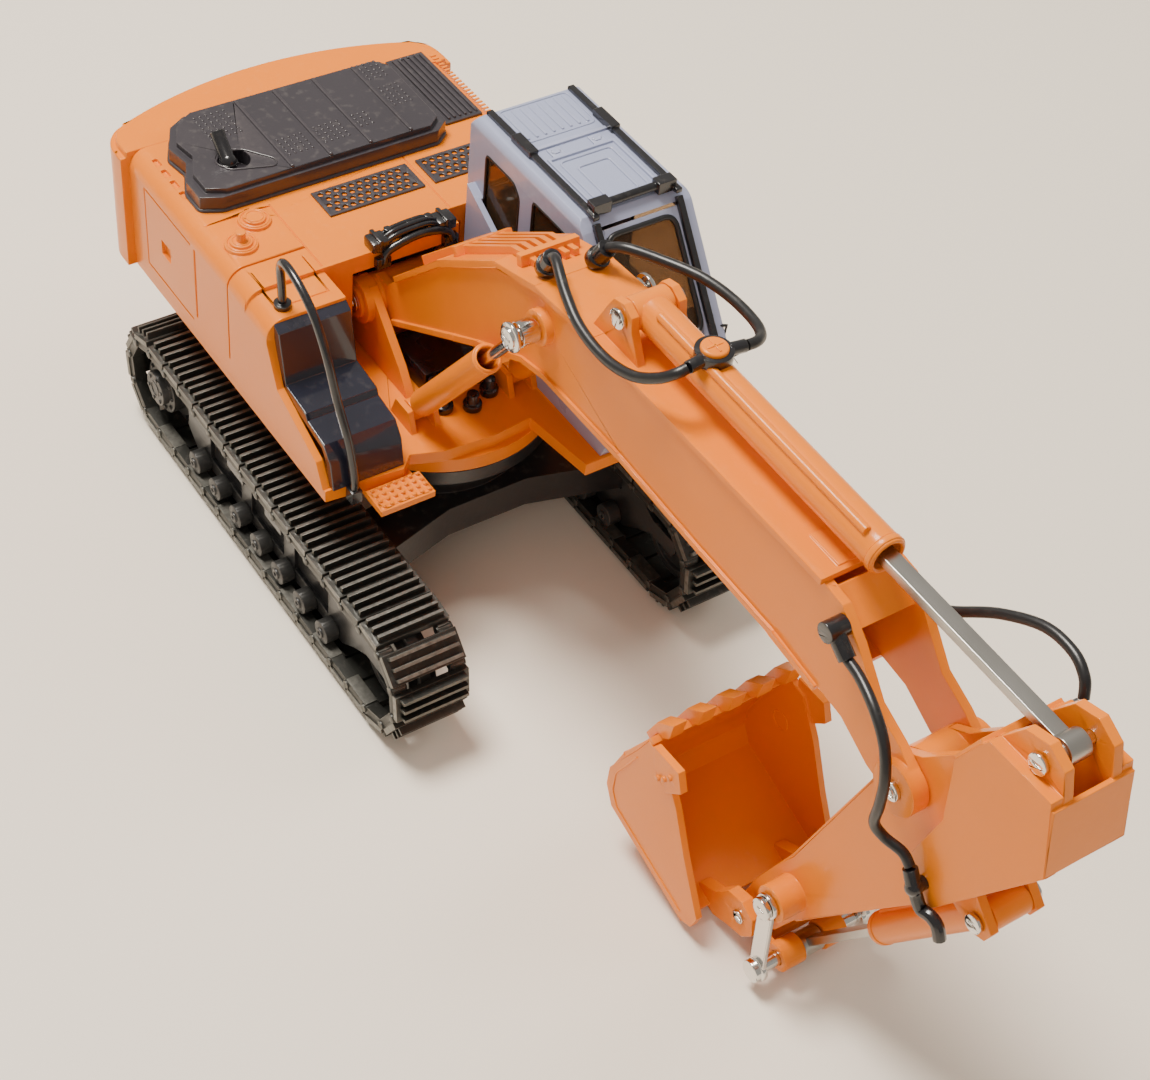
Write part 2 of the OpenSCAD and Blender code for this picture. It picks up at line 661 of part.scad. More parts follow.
module marker_lamp() {
  color(orange) intersection() {
    translate([-0.5, cab_left, 72]) scale([2, 1, 1]) sphere(r = 1.5);
    block([-5, cab_left, 69], [5, cab_left + 3, 75]);
  }
}

module cab_seat() {
  inside = cab_right + 1.2;
  outside = cab_left - 1.2;
  color(black) {
    block([2, inside + 2.6, deck_top], [14, outside - 2.6, deck_top + 9]);
    block([0.5, inside + 3.2, deck_top + 8.9], [4, outside - 3.2, deck_top + 24]);
    // consoles on both sides, control stand and pedals
    for (y = [inside + 0.4, outside - 2.6]) block([3, y, deck_top], [17, y + 2.3, deck_top + 12]);
    block([28, inside + 1, deck_top], [31.5, inside + 5, deck_top + 16]);
    block([24, inside + 6, deck_top], [29, outside - 3, deck_top + 1.4]);
  }
}

module battery_pack() {
  color([0.15, 0.3, 0.6]) for (i = [0 : 2]) translate([-49.5, -16.6 + i * 10.05, deck_top + 6]) {
    rotate([0, 90, 0]) cylinder(r = 5, h = 26);
    translate([26, 0, 0]) rotate([0, 90, 0]) cylinder(r = 1.6, h = 0.8);
  }
  color(black) {
    for (y = [-19, 4.4]) block([-48, y, deck_top], [-26, y + 2.4, deck_top + 3.2]);
  }
}

module receiver_board() {
  color([0.1, 0.35, 0.15]) block([-46, 17, deck_top + 1.5], [-24, 19, deck_top + 15]);
  color(black) {
    block([-45, 16, deck_top], [-43, 20, deck_top + 2.5]);
    block([-27, 16, deck_top], [-25, 20, deck_top + 2.5]);
    block([-40, 19, deck_top + 5], [-34, 21, deck_top + 11]);
    translate([-30, 19, deck_top + 8]) rotate([-90, 0, 0]) cylinder(r = 1.4, h = 4);
  }
}

module slew_motor() {
  color(steel) translate([pinion_x, 0, deck_top]) difference() {
    union() {
      cylinder(r = 3.9, h = 1);
      cylinder(r = 3.2, h = 8);
    }
    translate([0, 0, -0.1]) cylinder(r = 0.6 + fit, h = 3);
  }
}

module slew_pinion() {
  color(steel) translate([pinion_x, 0, 0]) {
    translate([0, 0, bearing_z + 0.2]) rotate(180 / pinion_teeth) gear(pinion_teeth, 1.7);
    translate([0, 0, bearing_z + 1.8]) cylinder(r = 0.6, h = deck_top - bearing_z + 0.4);
  }
}

module power_switch() {
  color(black) {
    block([-45.9, -1.5, deck_bottom - 0.6], [-43.1, 0.5, deck_top]);
    block([-46.8, -1.8, deck_top + fit], [-42.2, 0.8, deck_top + 0.8]);
    block([-45.4, -1, deck_top - 0.2], [-43.6, 0, deck_top + 0.4]);
  }
}

// ---------- boom ----------

boom_side = [[-13, 48], [-12.4, 42.6], [-6, 42.8], [3, 48], [16, 55.9], [23.5, 60.2], [35.6, 66.2],
    [42, 67.6], [62, 67.9], [83, 66.7],
  [101, 66.2], [117, 64.2], [123.5, 60.8], [130.2, 59.3], [134, 62], [133.6, 66], [128, 69.8],
      [122.5, 72.2], [117, 78.6], [112.5, 82.4],
  [108, 83], [66, 83.3], [53, 83.2], [38, 82], [27, 78.8], [11, 67.3], [-1, 55.6], [-6, 50.4],
      [-9.5, 50.6]];
boom_top = [[-2.6, 54.3], [11, 67.6], [27, 79], [38, 82.2], [53, 83.4], [108, 83.3]];
boom_bottom = [[-3.4, 44.2], [16, 55.6], [23.5, 59.9], [35.6, 66], [42, 67.4], [62, 67.6], [83, 66.5],
    [101, 66], [111, 64.6]];

module boom_shell() {
  inner = boom_half - web;
  color(orange) difference() {
    union() {
      plates(boom_side, inner, boom_half);
      strip(boom_top, 1.1, boom_half + 0.7);
      strip(boom_bottom, 1.1, boom_half + 0.5);
      // foot tube, tip bosses and tip cross plate
      across(boom_pin, 3.9, -7.3, 7.3);
      across_both(arm_pin, 4.2, inner + 0.1, boom_half + 1.4);
      along([109.5, 82.8], [115, 78.2]) block([0, -inner - 0.2, -1], [6.6, inner + 0.2, 0.2]);
      block([101, -3.6, 83], [107.5, 3.6, 84.1]);
      // ears of the arm cylinder
      for (y = [-4.9, 3.5])
          plate([[50, 83], [53.4, 89.6], [54.6, 91.6], [57, 92.2], [59.2, 91], [59.6, 88.6], [62.5, 83]],
          y, y + 1.4);
      // bosses of the lift cylinder rods
      across_both(lift_rod_pin, 3, boom_half - 0.1, boom_half + 1.5);
      // bulkheads
      block([45, -inner - 0.1, 68], [46.5, inner + 0.1, 83]);
      block([85, -inner - 0.1, 67], [86.5, inner + 0.1, 83]);
    }
    across(boom_pin, 1.8 + fit, -8, 8);
    across(arm_pin, 1.6, -12, 12);
    across(arm_ear_pin, eye_pin, -6, 6);
    across_both(lift_rod_pin, 1, inner - 1, 12);
  }
}

module boom_pipes() {
  line = [[1.6, 59.2], [11, 67.8], [27, 79.2], [34, 81.4], [33.6, 82.8], [26.4, 80.8], [10, 69.4],
      [0.6, 60.6]];
  color(orange) difference() {
    union() {
      for (i = [-2 : 2]) plate(line, i * 1.7 - 0.5, i * 1.7 + 0.5);
      along([13, 70.6], [23, 77.7]) block([-0.7, -5.4, -2], [0.7, 5.4, 1]);
      along([31, 81.8], [41, 84.2]) block([-0.7, -5.4, -2], [0.7, 5.4, 1]);
    }
    strip(boom_top, 1.1, boom_half + 0.8);
    plate(boom_side, -boom_half, boom_half);
  }
}

module hose_plugs() {
  tee = [113.6, -boom_half, 79.8];
  color(black) difference() {
    union() {
      for (p = [[36, -3.8], [38, 3.8]]) translate([p[0], p[1], 83.4]) rotate([0, 30, p[1] < 0 ? -14 : 14]) {
        cylinder(r = 1.5, h = 4.2);
        cylinder(r = 1.9, h = 1.6);
      }
      // tee at the right of the boom tip, plain plug on the left
      translate(tee) rotate([90, 0, 0]) cylinder(r = 1.6, h = 3.4);
      translate(tee - [0, 1.8, 0]) rotate([0, 125, 0]) cylinder(r = 1.3, h = 4.4);
      translate([111.4, boom_half, 76]) rotate([-90, 0, 0]) cylinder(r = 1.5, h = 2.8);
      translate([111.4, boom_half + 1.5, 76]) rotate([0, 80, 0]) cylinder(r = 1.2, h = 3.6);
    }
    strip(boom_top, 1.1, boom_half + 0.7);
  }
}

module screw_head(p, y0, r, side) {
  across(p, r, side > 0 ? y0 : -y0 - 0.7, side > 0 ? y0 + 0.7 : -y0);
}

module lift_screws() {
  color(steel) for (s = [-1, 1]) difference() {
    union() {
      across(lift_rod_pin, 1, s > 0 ? boom_half : -12.2, s > 0 ? 12.2 : -boom_half);
      screw_head(lift_rod_pin, 12.1, 2.5, s);
      across(lift_rod_pin, 1.8, s > 0 ? 12.7 : -13.3, s > 0 ? 13.3 : -12.7);
    }
    block([lift_rod_pin[0] - 0.9, s > 0 ? 13 : -13.6, lift_rod_pin[1] - 0.15],
        [lift_rod_pin[0] + 0.9, s > 0 ? 13.6 : -13, lift_rod_pin[1] + 0.15]);
  }
  color(steel) {
    across(arm_ear_pin, eye_pin, -5.2, 5.2);
    for (s = [-1, 1]) screw_head(arm_ear_pin, 4.95, 1.7, s);
  }
}

module arm_hinge_pin() {
  color(steel) {
    across(arm_pin, 1.6, -8.5, 8.5);
    across(arm_pin, 1, -8.9, 8.9);
  }
}

// ---------- cylinders ----------

// cylinder tube along +X with its eye at the origin and a narrow neck between them
module barrel(length, r, bore, eye_half, eye_r, neck = 0) {
  start = neck > 0 ? neck : eye_r / 2;
  difference() {
    union() {
      translate([start, 0, 0]) rotate([0, 90, 0]) cylinder(r = r, h = length - start);
      if (neck > 0) translate([eye_r / 2, 0, 0]) rotate([0, 90, 0]) cylinder(r = eye_half - 0.1, h = neck);
      translate([0, eye_half, 0]) rotate([90, 0, 0]) cylinder(r = eye_r, h = 2 * eye_half);
      translate([length - 1, 0, 0]) rotate([0, 90, 0]) cylinder(r = r + 0.15, h = 1);
    }
    translate([eye_r + 2.4, 0, 0]) rotate([0, 90, 0]) cylinder(r = bore, h = length);
    translate([0, eye_half + 1, 0]) rotate([90, 0, 0]) cylinder(r = eye_pin + fit, h = 2 * eye_half + 2);
  }
}

module lift_barrel_at(side) {
  color(orange) translate([0, side * lift_offset, 0]) along(lift_base_pin, lift_rod_pin)
    barrel(lift_barrel, 2.4, 1.8, 1.7, 2, 3.6);
}

module lift_barrel_right() { lift_barrel_at(-1); }
module lift_barrel_left() { lift_barrel_at(1); }

module lift_rod_at(side) {
  reach = span(lift_base_pin, lift_rod_pin) - 16.4;
  color(steel) translate([0, side * lift_offset, 0]) along(lift_rod_pin, lift_base_pin) difference() {
    union() {
      rotate([0, 90, 0]) cylinder(r = rod_width / 2, h = reach);
      translate([0, 1.5, 0]) rotate([90, 0, 0]) cylinder(r = 2.1, h = 3);
    }
    translate([0, 2, 0]) rotate([90, 0, 0]) cylinder(r = 1 + fit, h = 4);
  }
}

module lift_rod_right() { lift_rod_at(-1); }
module lift_rod_left() { lift_rod_at(1); }

module arm_barrel() {
  color(orange) along(arm_ear_pin, arm_rod_pin) {
    barrel(arm_barrel_length, 3, 2.3, 3.3, 2.6);
    // oil line along the top
    translate([5, -1.6, 2.7]) rotate([0, 90, 0]) cylinder(r = 0.7, h = arm_barrel_length - 8);
    translate([5, -1.6, 2.7]) sphere(r = 0.7);
  }
}

clip_at = 15.5;

module hose_clip() {
  color(black) along(arm_ear_pin, arm_rod_pin) translate([clip_at, 0, 3.6]) difference() {
    union() {
      translate([0, 0, -1]) cylinder(r = 2.9, h = 1.8);
      for (s = [-1, 1]) translate([0.4, s * 2.4, 0]) rotate([0, 90, s * 82]) cylinder(r = 1, h = 2.6);
    }
    translate([0, 0, -0.2]) cylinder(r = 2, h = 2);
    translate([-clip_at, 0, -3.6]) rotate([0, 90, 0]) cylinder(r = 3.02, h = 40);
    translate([-clip_at, -1.6, -0.9]) rotate([0, 90, 0]) cylinder(r = 0.72, h = 40);
  }
  color(orange) along(arm_ear_pin, arm_rod_pin) translate([clip_at, 0, 3.4]) cylinder(r = 2, h = 1.3);
}

module arm_rod() {
  reach = 46;
  color(steel) along(arm_rod_pin, arm_ear_pin) difference() {
    union() {
      block([1, -rod_width * 0.65, -rod_width * 0.4], [reach, rod_width * 0.65, rod_width * 0.4]);
      translate([0, 1.8, 0]) rotate([90, 0, 0]) cylinder(r = 2.1, h = 3.6);
    }
    translate([0, 3, 0]) rotate([90, 0, 0]) cylinder(r = 1 + fit, h = 6);
  }
}

// ---------- arm ----------

arm_body = [[110.6, 21], [113.6, 26.6], [124, 56.5], [126.2, 61.6], [127.4, 67], [131, 69.6],
    [137.6, 77.6], [140.4, 83.6], [144.6, 90],
  [148.6, 91.2], [152, 89.4], [153.6, 84], [155.4, 74], [137.8, 44.6], [116.8, 14], [113.6, 7.4],
      [110.8, 4.8], [107, 5], [105.6, 7.6], [106.8, 12]];
arm_cheek = [[137.4, 77.4], [140.4, 83.6], [141.6, 85.6], [153, 85.8], [155.8, 73.6], [139.6, 46.4],
    [136.8, 49.6], [135.2, 54.4], [136.8, 60], [138.6, 66], [138, 72]];

module arm_shell() {
  inner = 3.3;
  mid = 4.9;
  color(orange) difference() {
    union() {
      plates(arm_body, inner, mid);
      // root cheeks, bevelled top plate, back plate and front plate
      plates(arm_cheek, mid, 6.9);
      strip([[137.6, 77.6], [140.6, 84]], 1.2, 6.8);
      strip([[153.2, 84.6], [155.2, 74]], 1.2, 6.8);
      strip([[154.6, 74], [137.4, 45.2], [117, 14.8]], 1.1, mid - 0.1);
      strip([[124.4, 57], [113.8, 27], [107.4, 12.4]], 1, mid - 0.1);
      // cross tubes at the pins
      across(arm_pin, 4.3, -mid + 0.05, mid - 0.05);
      across(bucket_pin, 3.2, -4.2, 4.2);
      across_both(link_pin, 3.1, 2, 9.4);
      across(link_pin, 2.6, -3, 3);
      // lugs for the bucket cylinder
      for (s = [-1, 1]) plate([[141, 51.8], [144.8, 58], [150.4, 52.8], [149.6, 50.6], [147.4, 49.8],
          [145.4, 50.4]], s > 0 ? 3.4 : -mid + 0.05, s > 0 ? mid - 0.05 : -3.4);
    }
    // room between the rod ears
    block([143, -3.3, 82.4], [153, 3.3, 93]);
    across(arm_pin, 1.6 + fit, -9, 9);
    across(arm_rod_pin, 1, -8, 8);
    across(bucket_base_pin, eye_pin, -8, 8);
    across(link_pin, 1.3, -12, 12);
    across(bucket_pin, 1.2 + fit, -6, 6);
  }
}

module arm_pins() {
  color(steel) {
    across(arm_rod_pin, 1, -5.4, 5.4);
    for (s = [-1, 1]) screw_head(arm_rod_pin, 5, 1.6, s);
    across(bucket_base_pin, eye_pin, -5.6, 5.6);
    for (s = [-1, 1]) screw_head(bucket_base_pin, 5, 1.5, s);
    across(link_pin, 1.3, -10.7, 10.7);
    for (s = [-1, 1]) across(link_pin, 1.9, s > 0 ? 10.5 : -11.4, s > 0 ? 11.4 : -10.5);
  }
}

module hose_elbow() {
  color(black) {
    translate([138.9, -6.9, 52.6]) rotate([90, 0, 0]) cylinder(r = 1.1, h = 2.2);
    translate([138.9, -8.7, 52.6]) sphere(r = 1.3);
    translate([138.9, -8.7, 52.6]) rotate([0, -30, 0]) cylinder(r = 1.1, h = 3);
    tube([[138.9, -8.6, 52.6], [139.8, -8.4, 50.8], [140.8, -8.1, 49.4], [142.4, -7.9, 49.7],
        [143.8, -7.7, 49],
      [144.8, -7.6, 47]], 1, 3, 10);
    // inlet of the left hose
    block([141.1, 6.9, 82], [143.7, 8.6, 84.4]);
  }
}

module bucket_barrel() {
  color(orange) along(bucket_base_pin, rod_pin) {
    barrel(bucket_barrel_length, 2.5, 1.8, 3.2, 2.3);
    translate([4, 0, -2.4]) rotate([0, 90, 0]) cylinder(r = 0.6, h = bucket_barrel_length - 6);
  }
}

module bucket_rod() {
  color(steel) along(rod_pin, bucket_base_pin) difference() {
    union() {
      block([1, -rod_width * 0.6, -rod_width * 0.35], [span(rod_pin, bucket_base_pin) - 15,
          rod_width * 0.6, rod_width * 0.35]);
      translate([0, 1.9, 0]) rotate([90, 0, 0]) cylinder(r = 2.1, h = 3.8);
    }
    translate([0, 3, 0]) rotate([90, 0, 0]) cylinder(r = 1.2 + fit, h = 6);
  }
}

link_inner = 9.5;
link_outer = 10.4;

module guide_links() {
  color(steel) {
    difference() {
      for (s = [-1, 1]) {
        for (p = [link_pin, rod_pin])
          across(p, 2.2, s > 0 ? link_inner : -link_outer, s > 0 ? link_outer : -link_inner);
        along(link_pin, rod_pin)
          block([0, s > 0 ? link_inner + 0.05 : 0.05 - link_outer, -1.6],
            [span(link_pin, rod_pin), s > 0 ? link_outer - 0.05 : -link_inner - 0.05, 1.6]);
      }
      across(link_pin, 1.3 + fit, -12, 12);
    }
    across(rod_pin, 1.2, -11.2, 11.2);
    across_both(rod_pin, 1.9, link_outer - 0.1, 11.4);
  }
}

module power_link() {
  plate_inner = 4.95;
  plate_outer = 6.2;
  color(orange) difference() {
    union() {
      across_both(rod_pin, 2.5, 2.1, plate_outer);
      across_both(bucket_lug_pin, 1.9, plate_inner, plate_outer);
      for (s = [-1, 1]) along(rod_pin, bucket_lug_pin)
        block([0, s > 0 ? plate_inner + 0.1 : 0.1 - plate_outer, -1.3],
          [span(rod_pin, bucket_lug_pin), s > 0 ? plate_outer - 0.1 : -plate_inner - 0.1, 1.3]);
      // bar that joins the two plates
      across([112.4, 3.6], 0.9, -5.5, 5.5);
    }
    across(rod_pin, 1.2 + fit, -8, 8);
    across(bucket_lug_pin, 0.9 + link_slack, -8, 8);
  }
}

// ---------- bucket ----------

bucket_outline = [[87.6, 31.8], [85.6, 27.6], [79.4, 16.4], [79.2, 12], [81.2, 8.2], [101.6, 2],
    [104.4, 3.2], [105.4, 6.4], [100, 16.4], [96.2, 24.6], [92, 31]];
bucket_skin = [[88.4, 32.6], [82.8, 23], [80.2, 16.4], [80, 12.2], [82.2, 8.8], [101.8, 2.8]];

module bucket_shell() {
  color(orange) difference() {
    union() {
      plates(bucket_outline, bucket_half - 1.2, bucket_half);
      strip(bucket_skin, 1.2, bucket_half - 0.1);
      // side cutters
      plates([[89.6, 33], [96, 33.4], [97.4, 29.8], [94, 26.4], [90.4, 28.6]], bucket_half - 0.7,
          bucket_half + 0.6);
      // ears
      plates([[99, 2.9], [103.4, 1.6], [107, 3.2], [110.6, 4.4], [112.6, 7], [112, 10.4], [109, 11.8],
          [105.6, 10.8], [103, 7.2], [99, 5]], 6.5, 8.6);
      for (s = [-1, 1], p = [[94.4, 30.6], [93.2, 29], [91.8, 27.8]])
          across(p, 0.5, s > 0 ? bucket_half + 0.5 : -bucket_half - 1, s > 0 ? bucket_half + 1
          : -bucket_half - 0.5);
    }
    across(bucket_pin, 1.2, -12, 12);
    across(bucket_lug_pin, 0.9, -7.6, 7.6);
  }
}

module bucket_teeth() {
  color(orange) for (i = [-2 : 2]) translate([0, i * 5.6, 0]) difference() {
    plate([[87.7, 32.9], [86.1, 29.6], [85, 30.2], [87.2, 35], [91, 38], [90.4, 34.2], [88.8, 32.7]],
        -1.3, 1.3);
    strip(bucket_skin, 1.22, 3);
  }
}

module bucket_pins() {
  color(steel) {
    across(bucket_pin, 1.2, -8.9, 8.9);
    across(bucket_lug_pin, 0.9, -7.6, 7.6);
  }
}

// ---------- hoses ----------

hose_radius = 0.85;

// from the right plug to the clip, and from the clip to the left plug
module hose_loop() {
  color(black) tube([[38.05, -4.3, 87.05], [40.6, -5.4, 88.4], [46.5, -7.6, 87.6], [53, -9.2, 86.6],
      [60.5, -9.8, 86.6],
    [66.6, -9.4, 88], [70.6, -8.2, 90.2], [72.6, -6.8, 92], [72.95, -5.2, 92.6]], hose_radius);
  color(black) tube([[72.95, 5.2, 92.6], [72.7, 7.2, 92.3], [71, 9.4, 91.4], [67.4, 11, 90.6],
      [61, 11.8, 89.8],
    [54.5, 11.2, 89.2], [48.5, 8.8, 88.8], [43, 5.6, 88.6], [40.1, 4.35, 87.1]], hose_radius);
}

module hose_right() {
  color(black) tube([[117.2, -8.3, 77.3], [120.4, -8.6, 76.9], [125, -9.8, 76.2], [129, -10.8, 73.8],
      [131.4, -11.6, 69.6],
    [131.8, -11.7, 64.5], [131.4, -11.2, 60], [132.8, -10, 57.6], [135.6, -9, 56.9],
        [137.2, -8.7, 55.5]], hose_radius - 0.05);
}

module hose_left() {
  color(black) tube([[114.9, 8, 76.7], [118.4, 8.6, 78.8], [124.4, 10.4, 83.2], [131, 11.5, 86.5],
      [136.6, 11.2, 87.3],
    [140.1, 10.3, 86.3], [141.6, 9.5, 84.1]], hose_radius - 0.05);
}

carbody();
side_frames();
track_rollers();
slew_ring();
travel_motors();
chain_right();
chain_left();
sprocket_right();
sprocket_left();
idler_right();
idler_left();
deck_plate();
engine_housing();
counterweight();
hood_cover();
exhaust();
grilles();
tank_cover();
step_plate();
handrail();
foot_brackets();
foot_pin();
valve_block();
cab_shell();
cab_glass();
cab_rails();
marker_lamp();
cab_seat();
battery_pack();
receiver_board();
slew_motor();
slew_pinion();
power_switch();
boom_shell();
boom_pipes();
hose_plugs();
lift_screws();
arm_hinge_pin();
lift_barrel_right();
lift_barrel_left();
lift_rod_right();
lift_rod_left();
arm_barrel();
hose_clip();
arm_rod();
arm_shell();
arm_pins();
hose_elbow();
bucket_barrel();
bucket_rod();
guide_links();
power_link();
bucket_shell();
bucket_teeth();
bucket_pins();
hose_loop();
hose_right();
hose_left();
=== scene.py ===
"""Finishes and fine detail of a crawler excavator model, built round its fixed frame."""

import json
import math

import bpy
from mathutils import Matrix, Vector


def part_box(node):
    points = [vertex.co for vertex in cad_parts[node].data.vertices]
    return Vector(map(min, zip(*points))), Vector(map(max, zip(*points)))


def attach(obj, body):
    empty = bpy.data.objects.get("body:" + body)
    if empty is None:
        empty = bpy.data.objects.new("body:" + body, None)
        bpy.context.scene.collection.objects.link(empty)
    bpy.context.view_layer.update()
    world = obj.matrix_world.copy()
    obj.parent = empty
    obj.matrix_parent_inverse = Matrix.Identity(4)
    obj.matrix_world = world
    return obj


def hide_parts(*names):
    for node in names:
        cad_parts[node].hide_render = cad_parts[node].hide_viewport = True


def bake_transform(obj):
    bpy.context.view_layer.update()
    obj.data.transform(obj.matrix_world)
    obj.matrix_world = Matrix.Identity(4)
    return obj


bl_info = {
    "name": "Crawler Excavator Finishes",
    "version": (1, 0, 0),
    "blender": (4, 5, 0),
    "location": "3D View > Sidebar > Excavator",
    "description": "Finishes and detail pieces for a crawler excavator model",
    "category": "Object",
}

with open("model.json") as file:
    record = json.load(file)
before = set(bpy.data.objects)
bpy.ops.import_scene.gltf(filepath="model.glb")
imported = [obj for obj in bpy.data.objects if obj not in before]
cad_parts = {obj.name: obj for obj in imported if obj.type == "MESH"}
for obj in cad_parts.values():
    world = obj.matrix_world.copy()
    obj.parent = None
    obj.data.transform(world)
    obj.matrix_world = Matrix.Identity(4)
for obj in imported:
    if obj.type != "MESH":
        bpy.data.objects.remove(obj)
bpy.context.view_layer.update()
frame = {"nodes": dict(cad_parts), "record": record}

MM = 0.001
MERGE = 0.002          # millimetres within which a frame node's corners become one
SHARP_ANGLE = 32       # edges sharper than this many degrees are rounded
SMOOTH_ANGLE = 50      # edges flatter than this many degrees are shaded smooth
BODY_OF = {node: body for body, nodes in frame["record"]["behaviour"]["bodies"].items() for node in nodes}


# ---------- settings ----------

class PaintSettings(bpy.types.PropertyGroup):
    """Colours of the paints and plastics."""

    orange: bpy.props.FloatVectorProperty(
        name="Orange paint", description="Gloss paint of the body, boom, arm and bucket",
        subtype="COLOR", size=3, min=0, max=1, default=(0.80, 0.200, 0.004))
    cab_grey: bpy.props.FloatVectorProperty(
        name="Cab paint", description="Gloss lavender grey of the cab",
        subtype="COLOR", size=3, min=0, max=1, default=(0.30, 0.33, 0.47))
    hood: bpy.props.FloatVectorProperty(
        name="Hood plastic", description="Smoked plastic of the hood cover and grilles",
        subtype="COLOR", size=3, min=0, max=1, default=(0.030, 0.026, 0.032))
    chain: bpy.props.FloatVectorProperty(
        name="Chain metal", description="Blackened metal of the chains and rollers",
        subtype="COLOR", size=3, min=0, max=1, default=(0.055, 0.055, 0.05))


class StageSettings(bpy.types.PropertyGroup):
    """Camera, floor and lights."""

    azimuth: bpy.props.FloatProperty(
        name="Azimuth", description="Camera's direction round the model", subtype="ANGLE",
        default=math.radians(51.78))
    elevation: bpy.props.FloatProperty(
        name="Elevation", description="Camera's height angle", subtype="ANGLE",
        default=math.radians(45.586))
    roll: bpy.props.FloatProperty(
        name="Roll", description="Camera's lean to one side", subtype="ANGLE",
        default=math.radians(6.693))
    place: bpy.props.FloatVectorProperty(
        name="Place", description="Where the camera stands", subtype="TRANSLATION", size=3, unit="LENGTH",
        default=(0.24813, -0.15924, 0.29399))
    lens: bpy.props.FloatProperty(name="Lens", description="Focal length in millimetres", default=69.254)
    floor_size: bpy.props.FloatProperty(
        name="Floor", description="Width of the floor", unit="LENGTH", default=6.0)
    key_power: bpy.props.FloatProperty(
        name="Key light", description="Power of the key light", unit="POWER", default=11.0)


# ---------- helpers ----------

def mm(x, y, z):
    """A point given in millimetres."""
    return Vector((x, y, z)) * MM


def nothing_selected():
    if bpy.context.object and bpy.context.object.mode != "OBJECT":
        bpy.ops.object.mode_set(mode="OBJECT")
    bpy.ops.object.select_all(action="DESELECT")


def pick(*pieces):
    """Selects the pieces only, the first one active."""
    nothing_selected()
    for piece in pieces:
        piece.select_set(True)
    bpy.context.view_layer.objects.active = pieces[0]


def apply_modifier(piece, kind, **values):
    """Adds a modifier with these values and applies it."""
    pick(piece)
    modifier = piece.modifiers.new(kind.title(), kind)
    for name, value in values.items():
        setattr(modifier, name, value)
    bpy.ops.object.modifier_apply(modifier=modifier.name)


def joined(pieces, name):
    """Joins pieces into one object."""
    pick(*pieces)
    if len(pieces) > 1:
        bpy.ops.object.join()
    whole = bpy.context.view_layer.objects.active
    whole.name = name
    return whole


def round_edges(piece, width, steps=2, angle=SHARP_ANGLE):
    """Bevels the sharp edges and shades the piece smooth."""
    apply_modifier(piece, "BEVEL", width=width * MM, segments=steps, limit_method="ANGLE",
                   angle_limit=math.radians(angle), use_clamp_overlap=False, miter_outer="MITER_ARC")
    pick(piece)
    bpy.ops.object.mode_set(mode="EDIT")
    bpy.ops.mesh.select_all(action="SELECT")
    bpy.ops.mesh.remove_doubles(threshold=0.001 * MM)
    bpy.ops.mesh.dissolve_degenerate(threshold=0.001 * MM)
    bpy.ops.object.mode_set(mode="OBJECT")
    shade(piece)


def shade(piece):
    pick(piece)
    bpy.ops.object.shade_smooth_by_angle(angle=math.radians(SMOOTH_ANGLE))
    apply_modifier(piece, "WEIGHTED_NORMAL", keep_sharp=True, weight=60)


def finish_piece(piece, name, body, material):
    """Applies the piece's place, gives it its material and lets it ride on a body."""
    pick(piece)
    bpy.ops.object.transform_apply(location=True, rotation=True, scale=True)
    piece.name = name
    piece.data.name = name
    piece.data.materials.clear()
    piece.data.materials.append(material)
    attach(piece, body)
    return piece


def block(low, high, edge=0.0, steps=2):
    """A block between two corners in millimetres, with rounded edges."""
    low, high = Vector(low), Vector(high)
    bpy.ops.mesh.primitive_cube_add(size=1, location=(low + high) / 2 * MM, scale=(high - low) * MM)
    piece = bpy.context.object
    bpy.ops.object.transform_apply(location=True, rotation=True, scale=True)
    if edge:
        apply_modifier(piece, "BEVEL", width=edge * MM, segments=steps, limit_method="NONE")
    return piece


def disc(centre, axis, radius, height, edge=0.0, sides=32):
    """A round disc or rod that starts at centre and runs along axis, in millimetres."""
    axis = Vector(axis).normalized()
    turn = axis.to_track_quat("Z", "Y").to_euler()
    middle = Vector(centre) + axis * height / 2
    bpy.ops.mesh.primitive_cylinder_add(
        vertices=sides, radius=radius * MM, depth=height * MM, location=middle * MM, rotation=turn)
    piece = bpy.context.object
    bpy.ops.object.transform_apply(location=True, rotation=True, scale=True)
    if edge:
        apply_modifier(piece, "BEVEL", width=edge * MM, segments=3, limit_method="ANGLE",
                       angle_limit=math.radians(40))
    return piece


def clean_copy(node):
    """A merged copy of a frame node, ready for bevels."""
    source = frame["nodes"][node]
    piece = bpy.data.objects.new(node + "_finished", source.data.copy())
    bpy.context.scene.collection.objects.link(piece)
    pick(piece)
    if piece.data.has_custom_normals:
        bpy.ops.mesh.customdata_custom_splitnormals_clear()
    bpy.ops.object.mode_set(mode="EDIT")
    bpy.ops.mesh.select_all(action="SELECT")
    bpy.ops.mesh.remove_doubles(threshold=MERGE * MM)
    bpy.ops.object.mode_set(mode="OBJECT")
    return piece


def engrave(piece, cuts):
    """Cuts thin blocks out of the piece: panel gaps, slots and recesses."""
    cutter = joined([block(low, high) for low, high in cuts], "cutter")
    pick(piece)
    modifier = piece.modifiers.new("Engrave", "BOOLEAN")
    modifier.object = cutter
    modifier.operation = "DIFFERENCE"
    modifier.solver = "EXACT"
    modifier.use_self = True
    bpy.ops.object.modifier_apply(modifier=modifier.name)
    pick(cutter)
    bpy.ops.object.delete()


def casting(node, material, edge, steps=2, cuts=()):
    """A frame node with its panel gaps cut and its edges rounded, in its finish."""
    piece = clean_copy(node)
    if cuts:
        engrave(piece, cuts)
    if edge:
        round_edges(piece, edge, steps)
    else:
        shade(piece)
    finish_piece(piece, node + "_finished", BODY_OF[node], material)
    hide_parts(node)
    return piece


